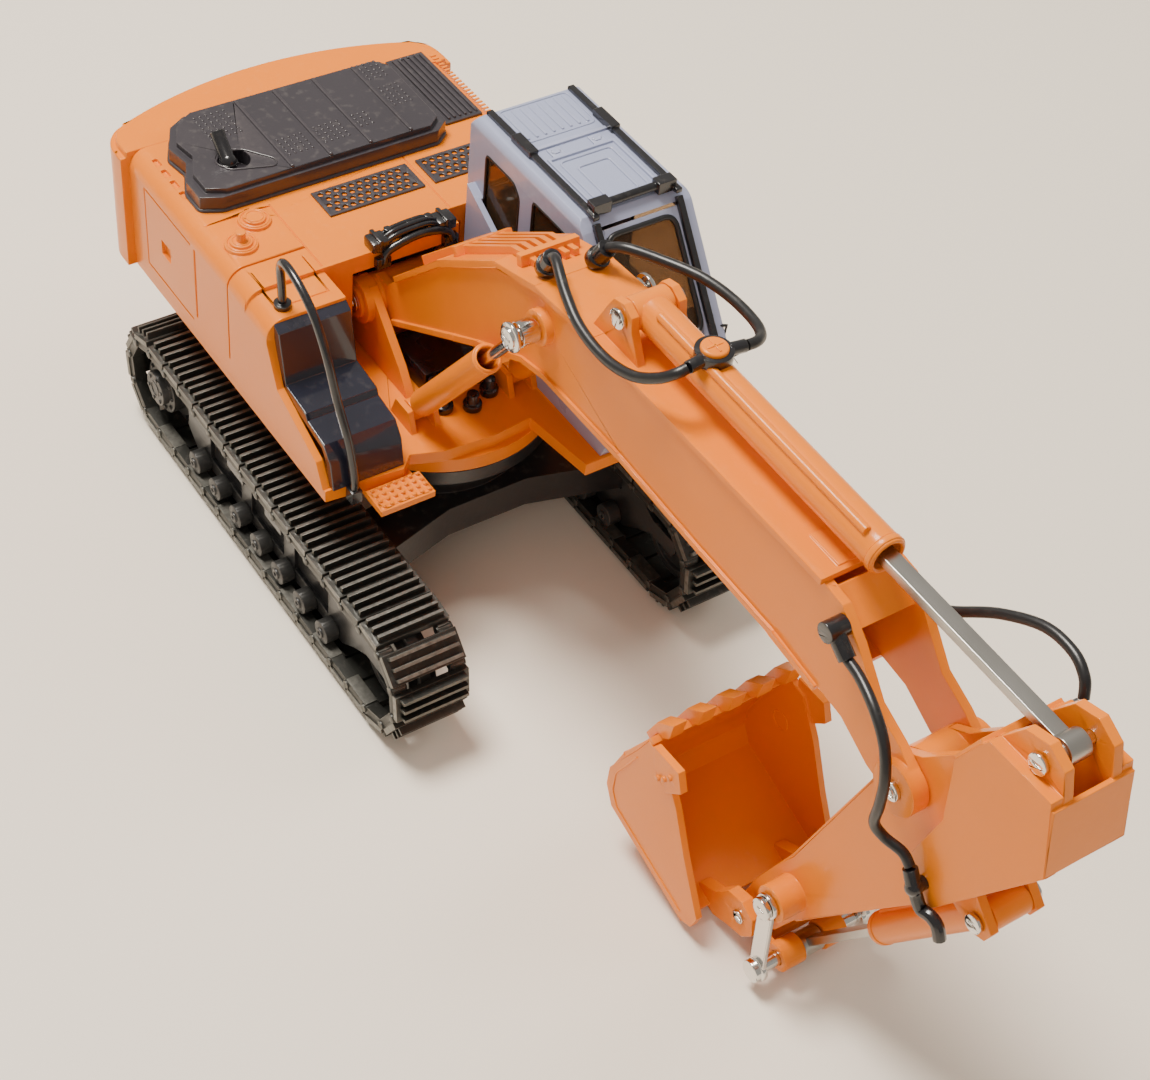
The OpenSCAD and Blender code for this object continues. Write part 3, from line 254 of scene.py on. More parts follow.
def dome(centre, radius, height, sides=10):
    """A small rounded stud standing on a face that looks up."""
    bpy.ops.mesh.primitive_uv_sphere_add(
        segments=sides, ring_count=6, radius=radius * MM, location=mm(*centre), scale=(1, 1, height / radius))
    piece = bpy.context.object
    bpy.ops.object.transform_apply(location=True, rotation=True, scale=True)
    return piece


def ring(centre, axis, radius, thickness, sides=40):
    """A round bead or seal about an axis."""
    turn = Vector(axis).to_track_quat("Z", "Y").to_euler()
    bpy.ops.mesh.primitive_torus_add(
        major_radius=radius * MM, minor_radius=thickness * MM, major_segments=sides, minor_segments=10,
        location=mm(*centre), rotation=turn)
    piece = bpy.context.object
    bpy.ops.object.transform_apply(location=True, rotation=True, scale=True)
    return piece


def copies(piece, places):
    """Copies of a piece moved by each offset in millimetres, joined into one; the piece itself is deleted."""
    made = []
    for place in places:
        pick(piece)
        bpy.ops.object.duplicate()
        copy = bpy.context.object
        copy.data.transform(Matrix.Translation(mm(*place)))
        made.append(copy)
    pick(piece)
    bpy.ops.object.delete()
    return joined(made, "copies")


def piping(points, radius, closed=False):
    """A round bead that follows points in millimetres."""
    nothing_selected()
    bpy.ops.curve.primitive_nurbs_path_add(location=(0, 0, 0))
    curve = bpy.context.object
    curve.data.splines.clear()
    spline = curve.data.splines.new("POLY")
    spline.points.add(len(points) - 1)
    for point, place in zip(spline.points, points):
        point.co = (*mm(*place), 1)
    spline.use_cyclic_u = closed
    curve.data.bevel_depth = radius * MM
    curve.data.bevel_resolution = 3
    curve.data.use_fill_caps = not closed
    pick(curve)
    bpy.ops.object.convert(target="MESH")
    return bpy.context.object


def rounded_outline(corners, radius, steps=5):
    """The 2-D outline through the corners with rounded corners."""
    outline = []
    for i, corner in enumerate(corners):
        here = Vector(corner)
        before = (Vector(corners[i - 1]) - here).normalized()
        after = (Vector(corners[(i + 1) % len(corners)]) - here).normalized()
        for j in range(steps + 1):
            t = j / steps
            outline.append(here + before * radius * (1 - t) ** 2 + after * radius * t ** 2)
    return outline


def smooth_line(points, steps):
    """Points on a smooth curve that passes through all the given points."""
    line = []
    for i in range(len(points) - 1):
        a, b = points[max(i - 1, 0)], points[i]
        c, d = points[i + 1], points[min(i + 2, len(points) - 1)]
        for j in range(steps):
            t = j / steps
            line.append(0.5 * (2 * b + (c - a) * t + (2 * a - 5 * b + 4 * c - d) * t * t
                               + (3 * b - a - 3 * c + d) * t ** 3))
    return line + [points[-1]]


def trim(name, body, key, pieces):
    """Joins small pieces into one that rides on a body."""
    piece = joined(pieces, name)
    pick(piece)
    bpy.ops.object.shade_smooth_by_angle(angle=math.radians(40))
    return finish_piece(piece, name, body, FINISHES[key])


# ---------- shared shader effects ----------

def effect(name, inputs, output, socket="NodeSocketFloat"):
    """An empty node group with named inputs and one output."""
    group = bpy.data.node_groups.new(name, "ShaderNodeTree")
    for label, value in inputs.items():
        entry = group.interface.new_socket(label, in_out="INPUT", socket_type="NodeSocketFloat")
        entry.default_value = value
    group.interface.new_socket(output, in_out="OUTPUT", socket_type=socket)
    group.nodes.new("NodeGroupInput").name = "In"
    group.nodes.new("NodeGroupOutput").name = "Out"
    return group


def rubbed_edge_and_highlight_effect():
    """Mask that is high on outer edges, broken up by noise: a painted highlight on the paints and plastics,
    rubbed bare metal on the chains and rollers.
    """
    group = effect("Rubbed edges and painted edge highlight", {"Amount": 0.5, "Scale": 900.0}, "Mask")
    nodes, links = group.nodes, group.links
    geometry = nodes.new("ShaderNodeNewGeometry")
    place = nodes.new("ShaderNodeTexCoord")
    noise = nodes.new("ShaderNodeTexNoise")
    ramp = nodes.new("ShaderNodeMapRange")
    ramp.inputs["From Min"].default_value = 0.52
    ramp.inputs["From Max"].default_value = 0.60
    times = nodes.new("ShaderNodeMath")
    times.operation = "MULTIPLY"
    scaled = nodes.new("ShaderNodeMath")
    scaled.operation = "MULTIPLY"
    links.new(place.outputs["Object"], noise.inputs["Vector"])
    links.new(nodes["In"].outputs["Scale"], noise.inputs["Scale"])
    known = nodes.new("ShaderNodeMath")
    known.operation = "MAXIMUM"
    known.inputs[1].default_value = 0.0
    links.new(geometry.outputs["Pointiness"], known.inputs[0])
    links.new(known.outputs[0], ramp.inputs["Value"])
    links.new(ramp.outputs["Result"], times.inputs[0])
    links.new(noise.outputs["Fac"], times.inputs[1])
    links.new(times.outputs[0], scaled.inputs[0])
    links.new(nodes["In"].outputs["Amount"], scaled.inputs[1])
    links.new(scaled.outputs[0], nodes["Out"].inputs["Mask"])
    return group


def dust_effect():
    """Mask of fine dust and specks that lie on faces turned upwards."""
    group = effect("Dust", {"Amount": 0.3, "Scale": 700.0}, "Mask")
    nodes, links = group.nodes, group.links
    geometry = nodes.new("ShaderNodeNewGeometry")
    split = nodes.new("ShaderNodeSeparateXYZ")
    place = nodes.new("ShaderNodeTexCoord")
    specks = nodes.new("ShaderNodeTexNoise")
    specks.inputs["Detail"].default_value = 6
    ramp = nodes.new("ShaderNodeMapRange")
    ramp.inputs["From Min"].default_value = 0.56
    ramp.inputs["From Max"].default_value = 0.74
    up = nodes.new("ShaderNodeMath")
    up.operation = "MAXIMUM"
    up.inputs[1].default_value = 0.15
    times = nodes.new("ShaderNodeMath")
    times.operation = "MULTIPLY"
    scaled = nodes.new("ShaderNodeMath")
    scaled.operation = "MULTIPLY"
    links.new(place.outputs["Object"], specks.inputs["Vector"])
    links.new(nodes["In"].outputs["Scale"], specks.inputs["Scale"])
    links.new(specks.outputs["Fac"], ramp.inputs["Value"])
    links.new(geometry.outputs["Normal"], split.inputs["Vector"])
    links.new(split.outputs["Z"], up.inputs[0])
    links.new(ramp.outputs["Result"], times.inputs[0])
    links.new(up.outputs[0], times.inputs[1])
    links.new(times.outputs[0], scaled.inputs[0])
    links.new(nodes["In"].outputs["Amount"], scaled.inputs[1])
    links.new(scaled.outputs[0], nodes["Out"].inputs["Mask"])
    return group


def grain_effect():
    """Fine surface relief: paint texture or moulded grain."""
    group = effect("Surface grain", {"Scale": 1500.0, "Wave scale": 160.0, "Wave": 0.5}, "Height")
    nodes, links = group.nodes, group.links
    place = nodes.new("ShaderNodeTexCoord")
    fine = nodes.new("ShaderNodeTexNoise")
    fine.inputs["Detail"].default_value = 3
    wide = nodes.new("ShaderNodeTexNoise")
    wide.inputs["Detail"].default_value = 1
    times = nodes.new("ShaderNodeMath")
    times.operation = "MULTIPLY"
    add = nodes.new("ShaderNodeMath")
    add.operation = "ADD"
    links.new(place.outputs["Object"], fine.inputs["Vector"])
    links.new(place.outputs["Object"], wide.inputs["Vector"])
    links.new(nodes["In"].outputs["Scale"], fine.inputs["Scale"])
    links.new(nodes["In"].outputs["Wave scale"], wide.inputs["Scale"])
    links.new(wide.outputs["Fac"], times.inputs[0])
    links.new(nodes["In"].outputs["Wave"], times.inputs[1])
    links.new(fine.outputs["Fac"], add.inputs[0])
    links.new(times.outputs[0], add.inputs[1])
    links.new(add.outputs[0], nodes["Out"].inputs["Height"])
    return group


# The edge mask lays a painted highlight on the paints and plastics and rubbed bare metal on the chains and
# rollers.
EFFECTS = {"wear_and_highlight": rubbed_edge_and_highlight_effect(), "dust": dust_effect(), "grain": grain_effect()}


def use_effect(material, key, **values):
    """Places a shared effect in a material with its own values."""
    node = material.node_tree.nodes.new("ShaderNodeGroup")
    node.node_tree = EFFECTS[key]
    for label, value in values.items():
        node.inputs[label.replace("_", " ").capitalize()].default_value = value
    return node


def finish(name, colour, roughness, rubbed_and_highlight_colour=None, wear_and_highlight=0.0, dust=0.0, shade_change=0.06, grain=1500.0,
           wave=0.5, relief=0.02, dust_colour=(0.6, 0.55, 0.48), **sockets):
    """A painted, moulded or metal finish: tone changes, lighter outer edges (a painted highlight on paints
    and plastics, rubbed metal on chains and rollers), dust and fine relief.
    """
    material = bpy.data.materials.new(name)
    material.use_nodes = True
    nodes, links = material.node_tree.nodes, material.node_tree.links
    shader = nodes["Principled BSDF"]
    for label, value in sockets.items():
        shader.inputs[label.replace("_", " ")].default_value = value
    place = nodes.new("ShaderNodeTexCoord")
    tone = nodes.new("ShaderNodeTexNoise")
    tone.inputs["Scale"].default_value = 60
    tone.inputs["Detail"].default_value = 4
    links.new(place.outputs["Object"], tone.inputs["Vector"])
    base = nodes.new("ShaderNodeMix")
    base.data_type = "RGBA"
    base.inputs["A"].default_value = (*[c * (1 - shade_change) for c in colour], 1)
    base.inputs["B"].default_value = (*[min(1, c * (1 + shade_change)) for c in colour], 1)
    links.new(tone.outputs["Fac"], base.inputs["Factor"])
    result = base.outputs["Result"]
    # Lighter outer edges: a painted highlight on the paints and plastics, rubbed bare metal on the chain and
    # roller metal.
    if wear_and_highlight:
        mask = use_effect(material, "wear_and_highlight", amount=wear_and_highlight)
        mix = nodes.new("ShaderNodeMix")
        mix.data_type = "RGBA"
        mix.inputs["B"].default_value = (*(rubbed_and_highlight_colour or [min(1, c * 1.5 + 0.05) for c in colour]), 1)
        links.new(result, mix.inputs["A"])
        links.new(mask.outputs["Mask"], mix.inputs["Factor"])
        result = mix.outputs["Result"]
    if dust:
        mask = use_effect(material, "dust", amount=dust)
        mix = nodes.new("ShaderNodeMix")
        mix.data_type = "RGBA"
        mix.inputs["B"].default_value = (*dust_colour, 1)
        links.new(result, mix.inputs["A"])
        links.new(mask.outputs["Mask"], mix.inputs["Factor"])
        result = mix.outputs["Result"]
    links.new(result, shader.inputs["Base Color"])
    rough = nodes.new("ShaderNodeMapRange")
    rough.inputs["To Min"].default_value = roughness * 0.85
    rough.inputs["To Max"].default_value = roughness * 1.2
    links.new(tone.outputs["Fac"], rough.inputs["Value"])
    links.new(rough.outputs["Result"], shader.inputs["Roughness"])
    height = use_effect(material, "grain", scale=grain, wave=wave)
    bump = nodes.new("ShaderNodeBump")
    bump.inputs["Strength"].default_value = 1.0
    bump.inputs["Distance"].default_value = relief * MM
    links.new(height.outputs["Height"], bump.inputs["Height"])
    links.new(bump.outputs["Normal"], shader.inputs["Normal"])
    return material


def smoked_glass():
    """Brown-tinted clear plastic of the cab's windows."""
    material = bpy.data.materials.new("Smoked glass")
    material.use_nodes = True
    nodes, links = material.node_tree.nodes, material.node_tree.links
    shader = nodes["Principled BSDF"]
    shader.inputs["Transmission Weight"].default_value = 0.9
    shader.inputs["IOR"].default_value = 1.2
    place = nodes.new("ShaderNodeTexCoord")
    haze = nodes.new("ShaderNodeTexNoise")
    haze.inputs["Scale"].default_value = 90
    tint = nodes.new("ShaderNodeMix")
    tint.data_type = "RGBA"
    tint.inputs["A"].default_value = (0.30, 0.20, 0.12, 1)
    tint.inputs["B"].default_value = (0.38, 0.26, 0.16, 1)
    rough = nodes.new("ShaderNodeMapRange")
    rough.inputs["To Min"].default_value = 0.03
    rough.inputs["To Max"].default_value = 0.09
    links.new(place.outputs["Object"], haze.inputs["Vector"])
    links.new(haze.outputs["Fac"], tint.inputs["Factor"])
    links.new(haze.outputs["Fac"], rough.inputs["Value"])
    links.new(tint.outputs["Result"], shader.inputs["Base Color"])
    links.new(rough.outputs["Result"], shader.inputs["Roughness"])
    return material


def make_finishes(paint):
    """All the finishes by name."""
    return {
        # Orange paint: the lighter orange on the outer edges is a painted highlight.
        "orange": finish(
            "Orange gloss paint", paint.orange, 0.30, wear_and_highlight=0.3, rubbed_and_highlight_colour=(0.95, 0.30, 0.03), dust=0.03,
            relief=0.012, wave=2.0, Specular_IOR_Level=0.25, Coat_Weight=0.15, Coat_Roughness=0.08),
        # Cab paint: the lighter lavender on the outer edges is a painted highlight.
        "cab": finish(
            "Lavender grey paint", paint.cab_grey, 0.28, wear_and_highlight=0.4, rubbed_and_highlight_colour=(0.55, 0.57, 0.70), dust=0.03,
            relief=0.008, wave=2.0, Coat_Weight=0.4, Coat_Roughness=0.06),
        # Black frame paint: the grey on the outer edges is a painted highlight.
        "black_paint": finish(
            "Black frame paint", (0.012, 0.012, 0.013), 0.34, wear_and_highlight=0.25, rubbed_and_highlight_colour=(0.10, 0.10, 0.10),
            dust=0.08, relief=0.02, Coat_Weight=0.3, Coat_Roughness=0.15),
        # Black plastic: the grey on the outer edges is a painted highlight.
        "black": finish(
            "Black gloss plastic", (0.008, 0.008, 0.010), 0.26, wear_and_highlight=0.15, rubbed_and_highlight_colour=(0.05, 0.05, 0.055),
            dust=0.03, relief=0.01, Coat_Weight=0.5, Coat_Roughness=0.1),
        # Black blue plastic: the lighter blue grey on the outer edges is a painted highlight.
        "navy": finish(
            "Black blue gloss plastic", (0.010, 0.011, 0.022), 0.16, wear_and_highlight=0.3, rubbed_and_highlight_colour=(0.08, 0.08, 0.11),
            dust=0.03, relief=0.006, Coat_Weight=0.8, Coat_Roughness=0.05),
        # Hood plastic: the lighter brown grey on the outer edges is a painted highlight.
        "hood": finish(
            "Smoked hood plastic", paint.hood, 0.34, wear_and_highlight=0.35, rubbed_and_highlight_colour=(0.12, 0.10, 0.10), dust=0.05,
            relief=0.015, Coat_Weight=0.4, Coat_Roughness=0.18),
        "chain": finish(
            "Blackened chain metal", paint.chain, 0.42, wear_and_highlight=1.0, rubbed_and_highlight_colour=(0.36, 0.35, 0.31), dust=0.10,
            shade_change=0.3, relief=0.03, Metallic=0.75),
        "roller": finish(
            "Dark roller metal", (0.05, 0.05, 0.05), 0.38, wear_and_highlight=0.7, rubbed_and_highlight_colour=(0.25, 0.24, 0.22),
            dust=0.08, relief=0.02, Metallic=0.5),
        "chrome": finish(
            "Polished steel", (0.74, 0.73, 0.70), 0.13, shade_change=0.08, relief=0.004, Metallic=1.0),
        "brushed": finish(
            "Plain steel", (0.50, 0.49, 0.46), 0.30, wear_and_highlight=0.3, rubbed_and_highlight_colour=(0.7, 0.69, 0.66),
            shade_change=0.12, relief=0.012, Metallic=1.0),
        "rubber": finish(
            "Black hose rubber", (0.010, 0.010, 0.011), 0.36, dust=0.04, relief=0.012, wave=0.3,
            Coat_Weight=0.15, Coat_Roughness=0.3),
        # Seat plastic: the lighter grey on the outer edges is a painted highlight.
        "seat": finish("Dark cab plastic", (0.02, 0.02, 0.022), 0.6, wear_and_highlight=0.3, relief=0.05, dust=0.05),
        "battery": finish("Battery wrap", (0.03, 0.10, 0.32), 0.25, relief=0.01, Coat_Weight=0.5),
        "board": finish("Circuit board", (0.015, 0.11, 0.035), 0.4, relief=0.03, shade_change=0.2),
        "glass": smoked_glass(),
    }


FINISHES = {}

# finish and edge radius in millimetres of every frame node
NODE_FINISH = {
    "carbody": ("black_paint", 0.18), "side_frames": ("black_paint", 0.12), "track_rollers": ("roller", 0.15),
    "slew_ring": ("brushed", 0), "travel_motors": ("roller", 0.12), "chain_right": ("chain", 0.07),
    "chain_left": ("chain", 0.07), "sprocket_right": ("roller", 0.12), "sprocket_left": ("roller", 0.12),
    "idler_right": ("roller", 0.15), "idler_left": ("roller", 0.15), "deck_plate": ("orange", 0.15),
    "engine_housing": ("orange", 0.15), "counterweight": ("orange", 0.3), "hood_cover": ("hood", 0.14),
    "exhaust": ("black", 0.1), "grilles": ("hood", 0.08), "tank_cover": ("navy", 0.15),
    "step_plate": ("orange", 0.1), "handrail": ("black", 0.1), "foot_brackets": ("orange", 0.14),
    "foot_pin": ("chrome", 0.12), "valve_block": ("black", 0.2), "cab_shell": ("cab", 0.12),
    "cab_glass": ("glass", 0), "cab_rails": ("black", 0.14), "marker_lamp": ("orange", 0),
    "cab_seat": ("seat", 0.4), "battery_pack": ("battery", 0.15), "receiver_board": ("board", 0.05),
    "slew_motor": ("brushed", 0.15), "slew_pinion": ("brushed", 0), "power_switch": ("black", 0.08),
    "boom_shell": ("orange", 0.12), "boom_pipes": ("orange", 0.12), "hose_plugs": ("black", 0.12),
    "lift_screws": ("chrome", 0.15), "arm_hinge_pin": ("chrome", 0.12), "lift_barrel_right": ("orange", 0.12),
    "lift_barrel_left": ("orange", 0.12), "lift_rod_right": ("chrome", 0.1), "lift_rod_left": ("chrome", 0.1),
    "arm_barrel": ("orange", 0.12), "hose_clip": ("black", 0.06), "arm_rod": ("brushed", 0.15),
    "arm_shell": ("orange", 0.12), "arm_pins": ("chrome", 0.12), "hose_elbow": ("black", 0.06),
    "bucket_barrel": ("orange", 0.12), "bucket_rod": ("brushed", 0.12), "guide_links": ("chrome", 0.15),
    "power_link": ("orange", 0.12), "bucket_shell": ("orange", 0.12), "bucket_teeth": ("orange", 0.12),
    "bucket_pins": ("chrome", 0.12),
}


# ---------- operators ----------

class EXCAVATOR_OT_stage(bpy.types.Operator):
    """Camera, pale floor and soft studio lights"""
    bl_idname = "excavator.stage"
    bl_label = "Stage"

    def execute(self, context):
        stage = context.scene.excavator_stage
        self.camera(stage)
        self.floor(stage)
        self.lights(stage)
        return {"FINISHED"}

    def camera(self, stage):
        az, el = stage.azimuth, stage.elevation
        back = Vector((math.sin(az) * math.cos(el), -math.cos(az) * math.cos(el), math.sin(el)))
        level = Vector((math.cos(az), math.sin(az), 0))
        right = Matrix.Rotation(stage.roll, 3, back) @ level
        up = back.cross(right)
        data = bpy.data.cameras.new("Camera")
        data.lens = stage.lens
        data.sensor_width = 36
        data.clip_start = 0.01
        camera = bpy.data.objects.new("Camera", data)
        turn = Matrix((right, up, back)).transposed().to_4x4()
        camera.matrix_world = Matrix.Translation(stage.place) @ turn
        bpy.context.scene.collection.objects.link(camera)
        bpy.context.scene.camera = camera

    def floor(self, stage):
        nothing_selected()
        bpy.ops.mesh.primitive_plane_add(size=stage.floor_size, location=(0, 0, 0))
        floor = bpy.context.object
        floor.name = "floor"
        material = bpy.data.materials.new("Pale floor")
        material.use_nodes = True
        shader = material.node_tree.nodes["Principled BSDF"]
        shader.inputs["Base Color"].default_value = (0.84, 0.76, 0.65, 1)
        shader.inputs["Roughness"].default_value = 0.55
        floor.data.materials.append(material)

    def lights(self, stage):
        world = bpy.data.worlds.new("Studio")
        world.use_nodes = True
        world.node_tree.nodes["Background"].inputs["Color"].default_value = (1.0, 0.93, 0.84, 1)
        world.node_tree.nodes["Background"].inputs["Strength"].default_value = 0.42
        bpy.context.scene.world = world
        target = mm(60, 0, 30)
        for name, place, size, power in (
                ("Key", (-0.22, -0.12, 0.75), 0.30, stage.key_power),
                ("Fill", (0.70, -0.60, 0.60), 0.70, stage.key_power * 0.22),
                ("Rim", (0.15, 0.80, 0.55), 0.50, stage.key_power * 0.25)):
            data = bpy.data.lights.new(name, "AREA")
            data.shape = "DISK"
            data.size = size
            data.energy = power
            data.color = (1.0, 0.94, 0.86)
            light = bpy.data.objects.new(name, data)
            light.visible_glossy = name == "Key"
            light.location = place
            light.rotation_euler = (Vector(place) - target).to_track_quat("Z", "Y").to_euler()
            bpy.context.scene.collection.objects.link(light)


class EXCAVATOR_OT_hoses(bpy.types.Operator):
    """Free rubber hoses along the boom and at the arm"""
    bl_idname = "excavator.hoses"
    bl_label = "Hoses"

    def execute(self, context):
        loop_first = [(38.05, -4.3, 87.05), (40.6, -5.4, 88.4), (46.5, -7.6, 87.6), (53, -9.2, 86.6),
                      (60.5, -9.8, 86.6), (66.6, -9.4, 88), (70.6, -8.2, 90.2), (72.6, -6.8, 92),
                      (72.95, -5.2, 92.6)]
        loop_second = [(72.95, 5.2, 92.6), (72.7, 7.2, 92.3), (71, 9.4, 91.4), (67.4, 11, 90.6),
                       (61, 11.8, 89.8), (54.5, 11.2, 89.2), (48.5, 8.8, 88.8), (43, 5.6, 88.6),
                       (40.1, 4.35, 87.1)]
        right = [(117.2, -8.3, 77.3), (120.4, -8.6, 76.9), (125, -9.8, 76.2), (129, -10.8, 73.8),
                 (131.4, -11.6, 69.6), (131.8, -11.7, 64.5), (131.4, -11.2, 60), (132.8, -10, 57.6),
                 (135.6, -9, 56.9), (137.2, -8.7, 55.5)]
        left = [(114.9, 8, 76.7), (118.4, 8.6, 78.8), (124.4, 10.4, 83.2), (131, 11.5, 86.5),
                (136.6, 11.2, 87.3), (140.1, 10.3, 86.3), (141.6, 9.5, 84.1)]
        first = self.hose("hose_loop_right", loop_first, 0.85)
        second = self.hose("hose_loop_left", loop_second, 0.85)
        for piece in (first, second):
            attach(piece, "boom")
            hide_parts("hose_loop")
        tip_right = self.hose("hose_tip_right", right, 0.8)
        tip_left = self.hose("hose_tip_left", left, 0.8)
        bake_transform(tip_right)
        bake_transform(tip_left)
        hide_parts("hose_right")
        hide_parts("hose_left")
        return {"FINISHED"}

    def hose(self, name, points, radius):
        """A round hose swept along a smooth line through the points."""
        line = smooth_line([mm(*p) for p in points], 8)
        nothing_selected()
        bpy.ops.curve.primitive_nurbs_path_add(location=(0, 0, 0))
        curve = bpy.context.object
        curve.data.splines.clear()
        spline = curve.data.splines.new("POLY")
        spline.points.add(len(line) - 1)
        for point, place in zip(spline.points, line):
            point.co = (*place, 1)
        curve.data.bevel_depth = radius * MM
        curve.data.bevel_resolution = 6
        curve.data.use_fill_caps = True
        pick(curve)
        bpy.ops.object.convert(target="MESH")
        piece = bpy.context.object
        bpy.ops.object.shade_smooth_by_angle(angle=math.radians(SMOOTH_ANGLE))
        piece.name = name
        piece.data.name = name
        piece.data.materials.clear()
        piece.data.materials.append(FINISHES["rubber"])
        return piece


class EXCAVATOR_OT_castings(bpy.types.Operator):
    """Every rigid part of the frame with rounded edges, panel gaps and its finish"""
    bl_idname = "excavator.castings"
    bl_label = "Castings and mouldings"

    def execute(self, context):
        for node, (key, edge) in NODE_FINISH.items():
            casting(node, FINISHES[key], edge, cuts=ENGRAVINGS.get(node, ()))
        return {"FINISHED"}


# places on the frame, in millimetres
CAB_RIGHT = 12.8
CAB_LEFT = 34.6
CAB_TOP = 76.0
HOOD_TOP = 61.0
SKIRT_Z = 57.15
DECK_CAPS = ((-24.5, -22), (-19.7, -27))
LIFT_BASE = (10.5, 36.8)
LIFT_AXIS = (0.603, 0, 0.798)
LIFT_BARREL = 34
LIFT_OFFSET = 9.9
ARM_BASE = (56.6, 89.4)
ARM_AXIS = (0.9998, 0, -0.0207)
ARM_BARREL = 55.5
CLIP_ALONG = 15.5
CLIP_RISE = 3.45
WHEEL_REACH = 40
WHEEL_HEIGHT = 12
BOLT_CIRCLE = 2.6
SCREEN_TOP = (22.4, 73.8)


def slot_cuts(node, x, z, half):
    """Screwdriver slots in both end faces of a pin that runs across the machine."""
    reach = max(abs(v.co.y) / MM for v in frame["nodes"][node].data.vertices
                if math.hypot(v.co.x / MM - x, v.co.z / MM - z) < 2.6)
    return [((x - half, side * reach - 0.3, z - 0.14), (x + half, side * reach + 0.3, z + 0.14))
            for side in (-1, 1)]


# lowest and highest corners of the blocks that are cut out of a node, in millimetres
ENGRAVINGS = {
    "engine_housing": [
        ((-27.3, -31, 56.78), (-27.05, -17.5, 58)), ((-27.3, -17.75, 56.78), (-8.6, -17.5, 58)),
        ((-30, 9.7, 56.78), (-12.6, 9.95, 58)), ((-12.4, -29.2, 55.98), (-3.2, -29.0, 57.5)),
        ((-12.4, -19.4, 55.98), (-3.2, -19.2, 57.5)), ((-3.4, -29.2, 55.98), (-3.2, -19.2, 57.5)),
        ((-46, -33, 36.4), (-28.2, -32.35, 36.7)), ((-46, -33, 53.0), (-28.2, -32.35, 53.3)),
        ((-46.2, -33, 36.4), (-45.9, -32.35, 53.3)), ((-46, 32.35, 36.4), (-14, 33, 36.7)),
        ((-46, 32.35, 53.0), (-14, 33, 53.3)), ((-46.2, 32.35, 36.4), (-45.9, 33, 53.3)),
        ((-30, 32.35, 36.4), (-29.7, 33, 53.3))],
    "counterweight": [((-68, -40, 44.0), (-66.4, 40, 44.3))],
    "cab_shell": [
        ((5.6, 34.4, 37), (5.9, 35, 73)), ((5.6, 34.4, 36.8), (33, 35, 37.1)),
        ((32.8, 34.4, 36.8), (33.1, 35, 52))],
    "foot_pin": slot_cuts("foot_pin", -9.5, 46, 0.7),
    "arm_hinge_pin": slot_cuts("arm_hinge_pin", 130.2, 63.7, 1.1),
    "arm_pins": slot_cuts("arm_pins", 148.3, 87.5, 0.8) + slot_cuts("arm_pins", 147.5, 52.5, 0.8)
    + slot_cuts("arm_pins", 115.5, 20, 0.8),
    "bucket_pins": slot_cuts("bucket_pins", 109, 8, 0.9) + slot_cuts("bucket_pins", 104.6, 4.2, 0.6),
}


class EXCAVATOR_OT_hood_trim(bpy.types.Operator):
    """Studs, seam ends, skirt and louvre dots of the hood, and the deck's small parts"""
    bl_idname = "excavator.hood_trim"
    bl_label = "Hood and deck trim"

    def execute(self, context):
        patches = [(-50.6, -20.2, 7, 6), (-38.4, -10.2, 5, 5), (-38.8, -2.7, 5, 5), (-39, 5.2, 4, 3),
                   (-44.2, 13.7, 6, 4), (-52.0, 13.6, 5, 4)]
        places = [(x + 1.15 * i, y + 1.15 * j, HOOD_TOP) for x, y, rows, columns in patches
                  for i in range(rows) for j in range(columns)
                  if not (x + 1.15 * i > -41 and y + 1.15 * j < -16)]
        studs = copies(dome((0, 0, 0), 0.30, 0.20, 8), places)
        seams = copies(dome((0, 0, 0), 0.42, 0.35),
                       [(-30.5, y, HOOD_TOP + 0.2) for y in (-11.4, -3.8, 4.2, 12.4)])
        plan = rounded_outline(
            [(-53.4, -21), (-51.4, -24.5), (-46, -27.4), (-41, -26.6), (-36, -29), (-31, -29),
             (-29.3, -25.5), (-29.3, 17.5), (-31.5, 20.3), (-49.5, 20.6), (-53, 18.6)], 0.8)
        skirt = piping([(p.x, p.y, SKIRT_Z) for p in plan], 0.4, closed=True)
        rim = rounded_outline(
            [(-39.9, -20.6), (-37.2, -22.8), (-34.4, -21.4), (-31.9, -13.8), (-33.6, -12.8),
             (-38.8, -16.8)], 0.9)
        teardrop = piping([(p.x, p.y, HOOD_TOP + 0.02) for p in rim], 0.22, closed=True)
        dots = copies(dome((0, 0, 0), 0.35, 0.3, 8), [(-54.6, 22.9 + 1.6 * i, 57.6) for i in range(4)])
        trim("hood_studs", "upper", "hood", [studs, seams, skirt, teardrop, dots])
        strip = copies(block((0, 0, 0), (0.55, 1.2, 0.3), 0.1, 1),
                       [(-54 + 1.05 * i, 30.4, 56.95) for i in range(22)])
        caps = [ring((*cap, z), (0, 0, 1), radius, thickness)
                for z, radius, thickness in ((57.62, 2.45, 0.16), (58.1, 1.5, 0.14)) for cap in DECK_CAPS]
        knob = disc((*DECK_CAPS[1], 59.4), (0, 0, 1), 0.95, 0.55, 0.2, 12)
        trim("deck_trim", "upper", "orange", [strip, *caps, knob])
        return {"FINISHED"}


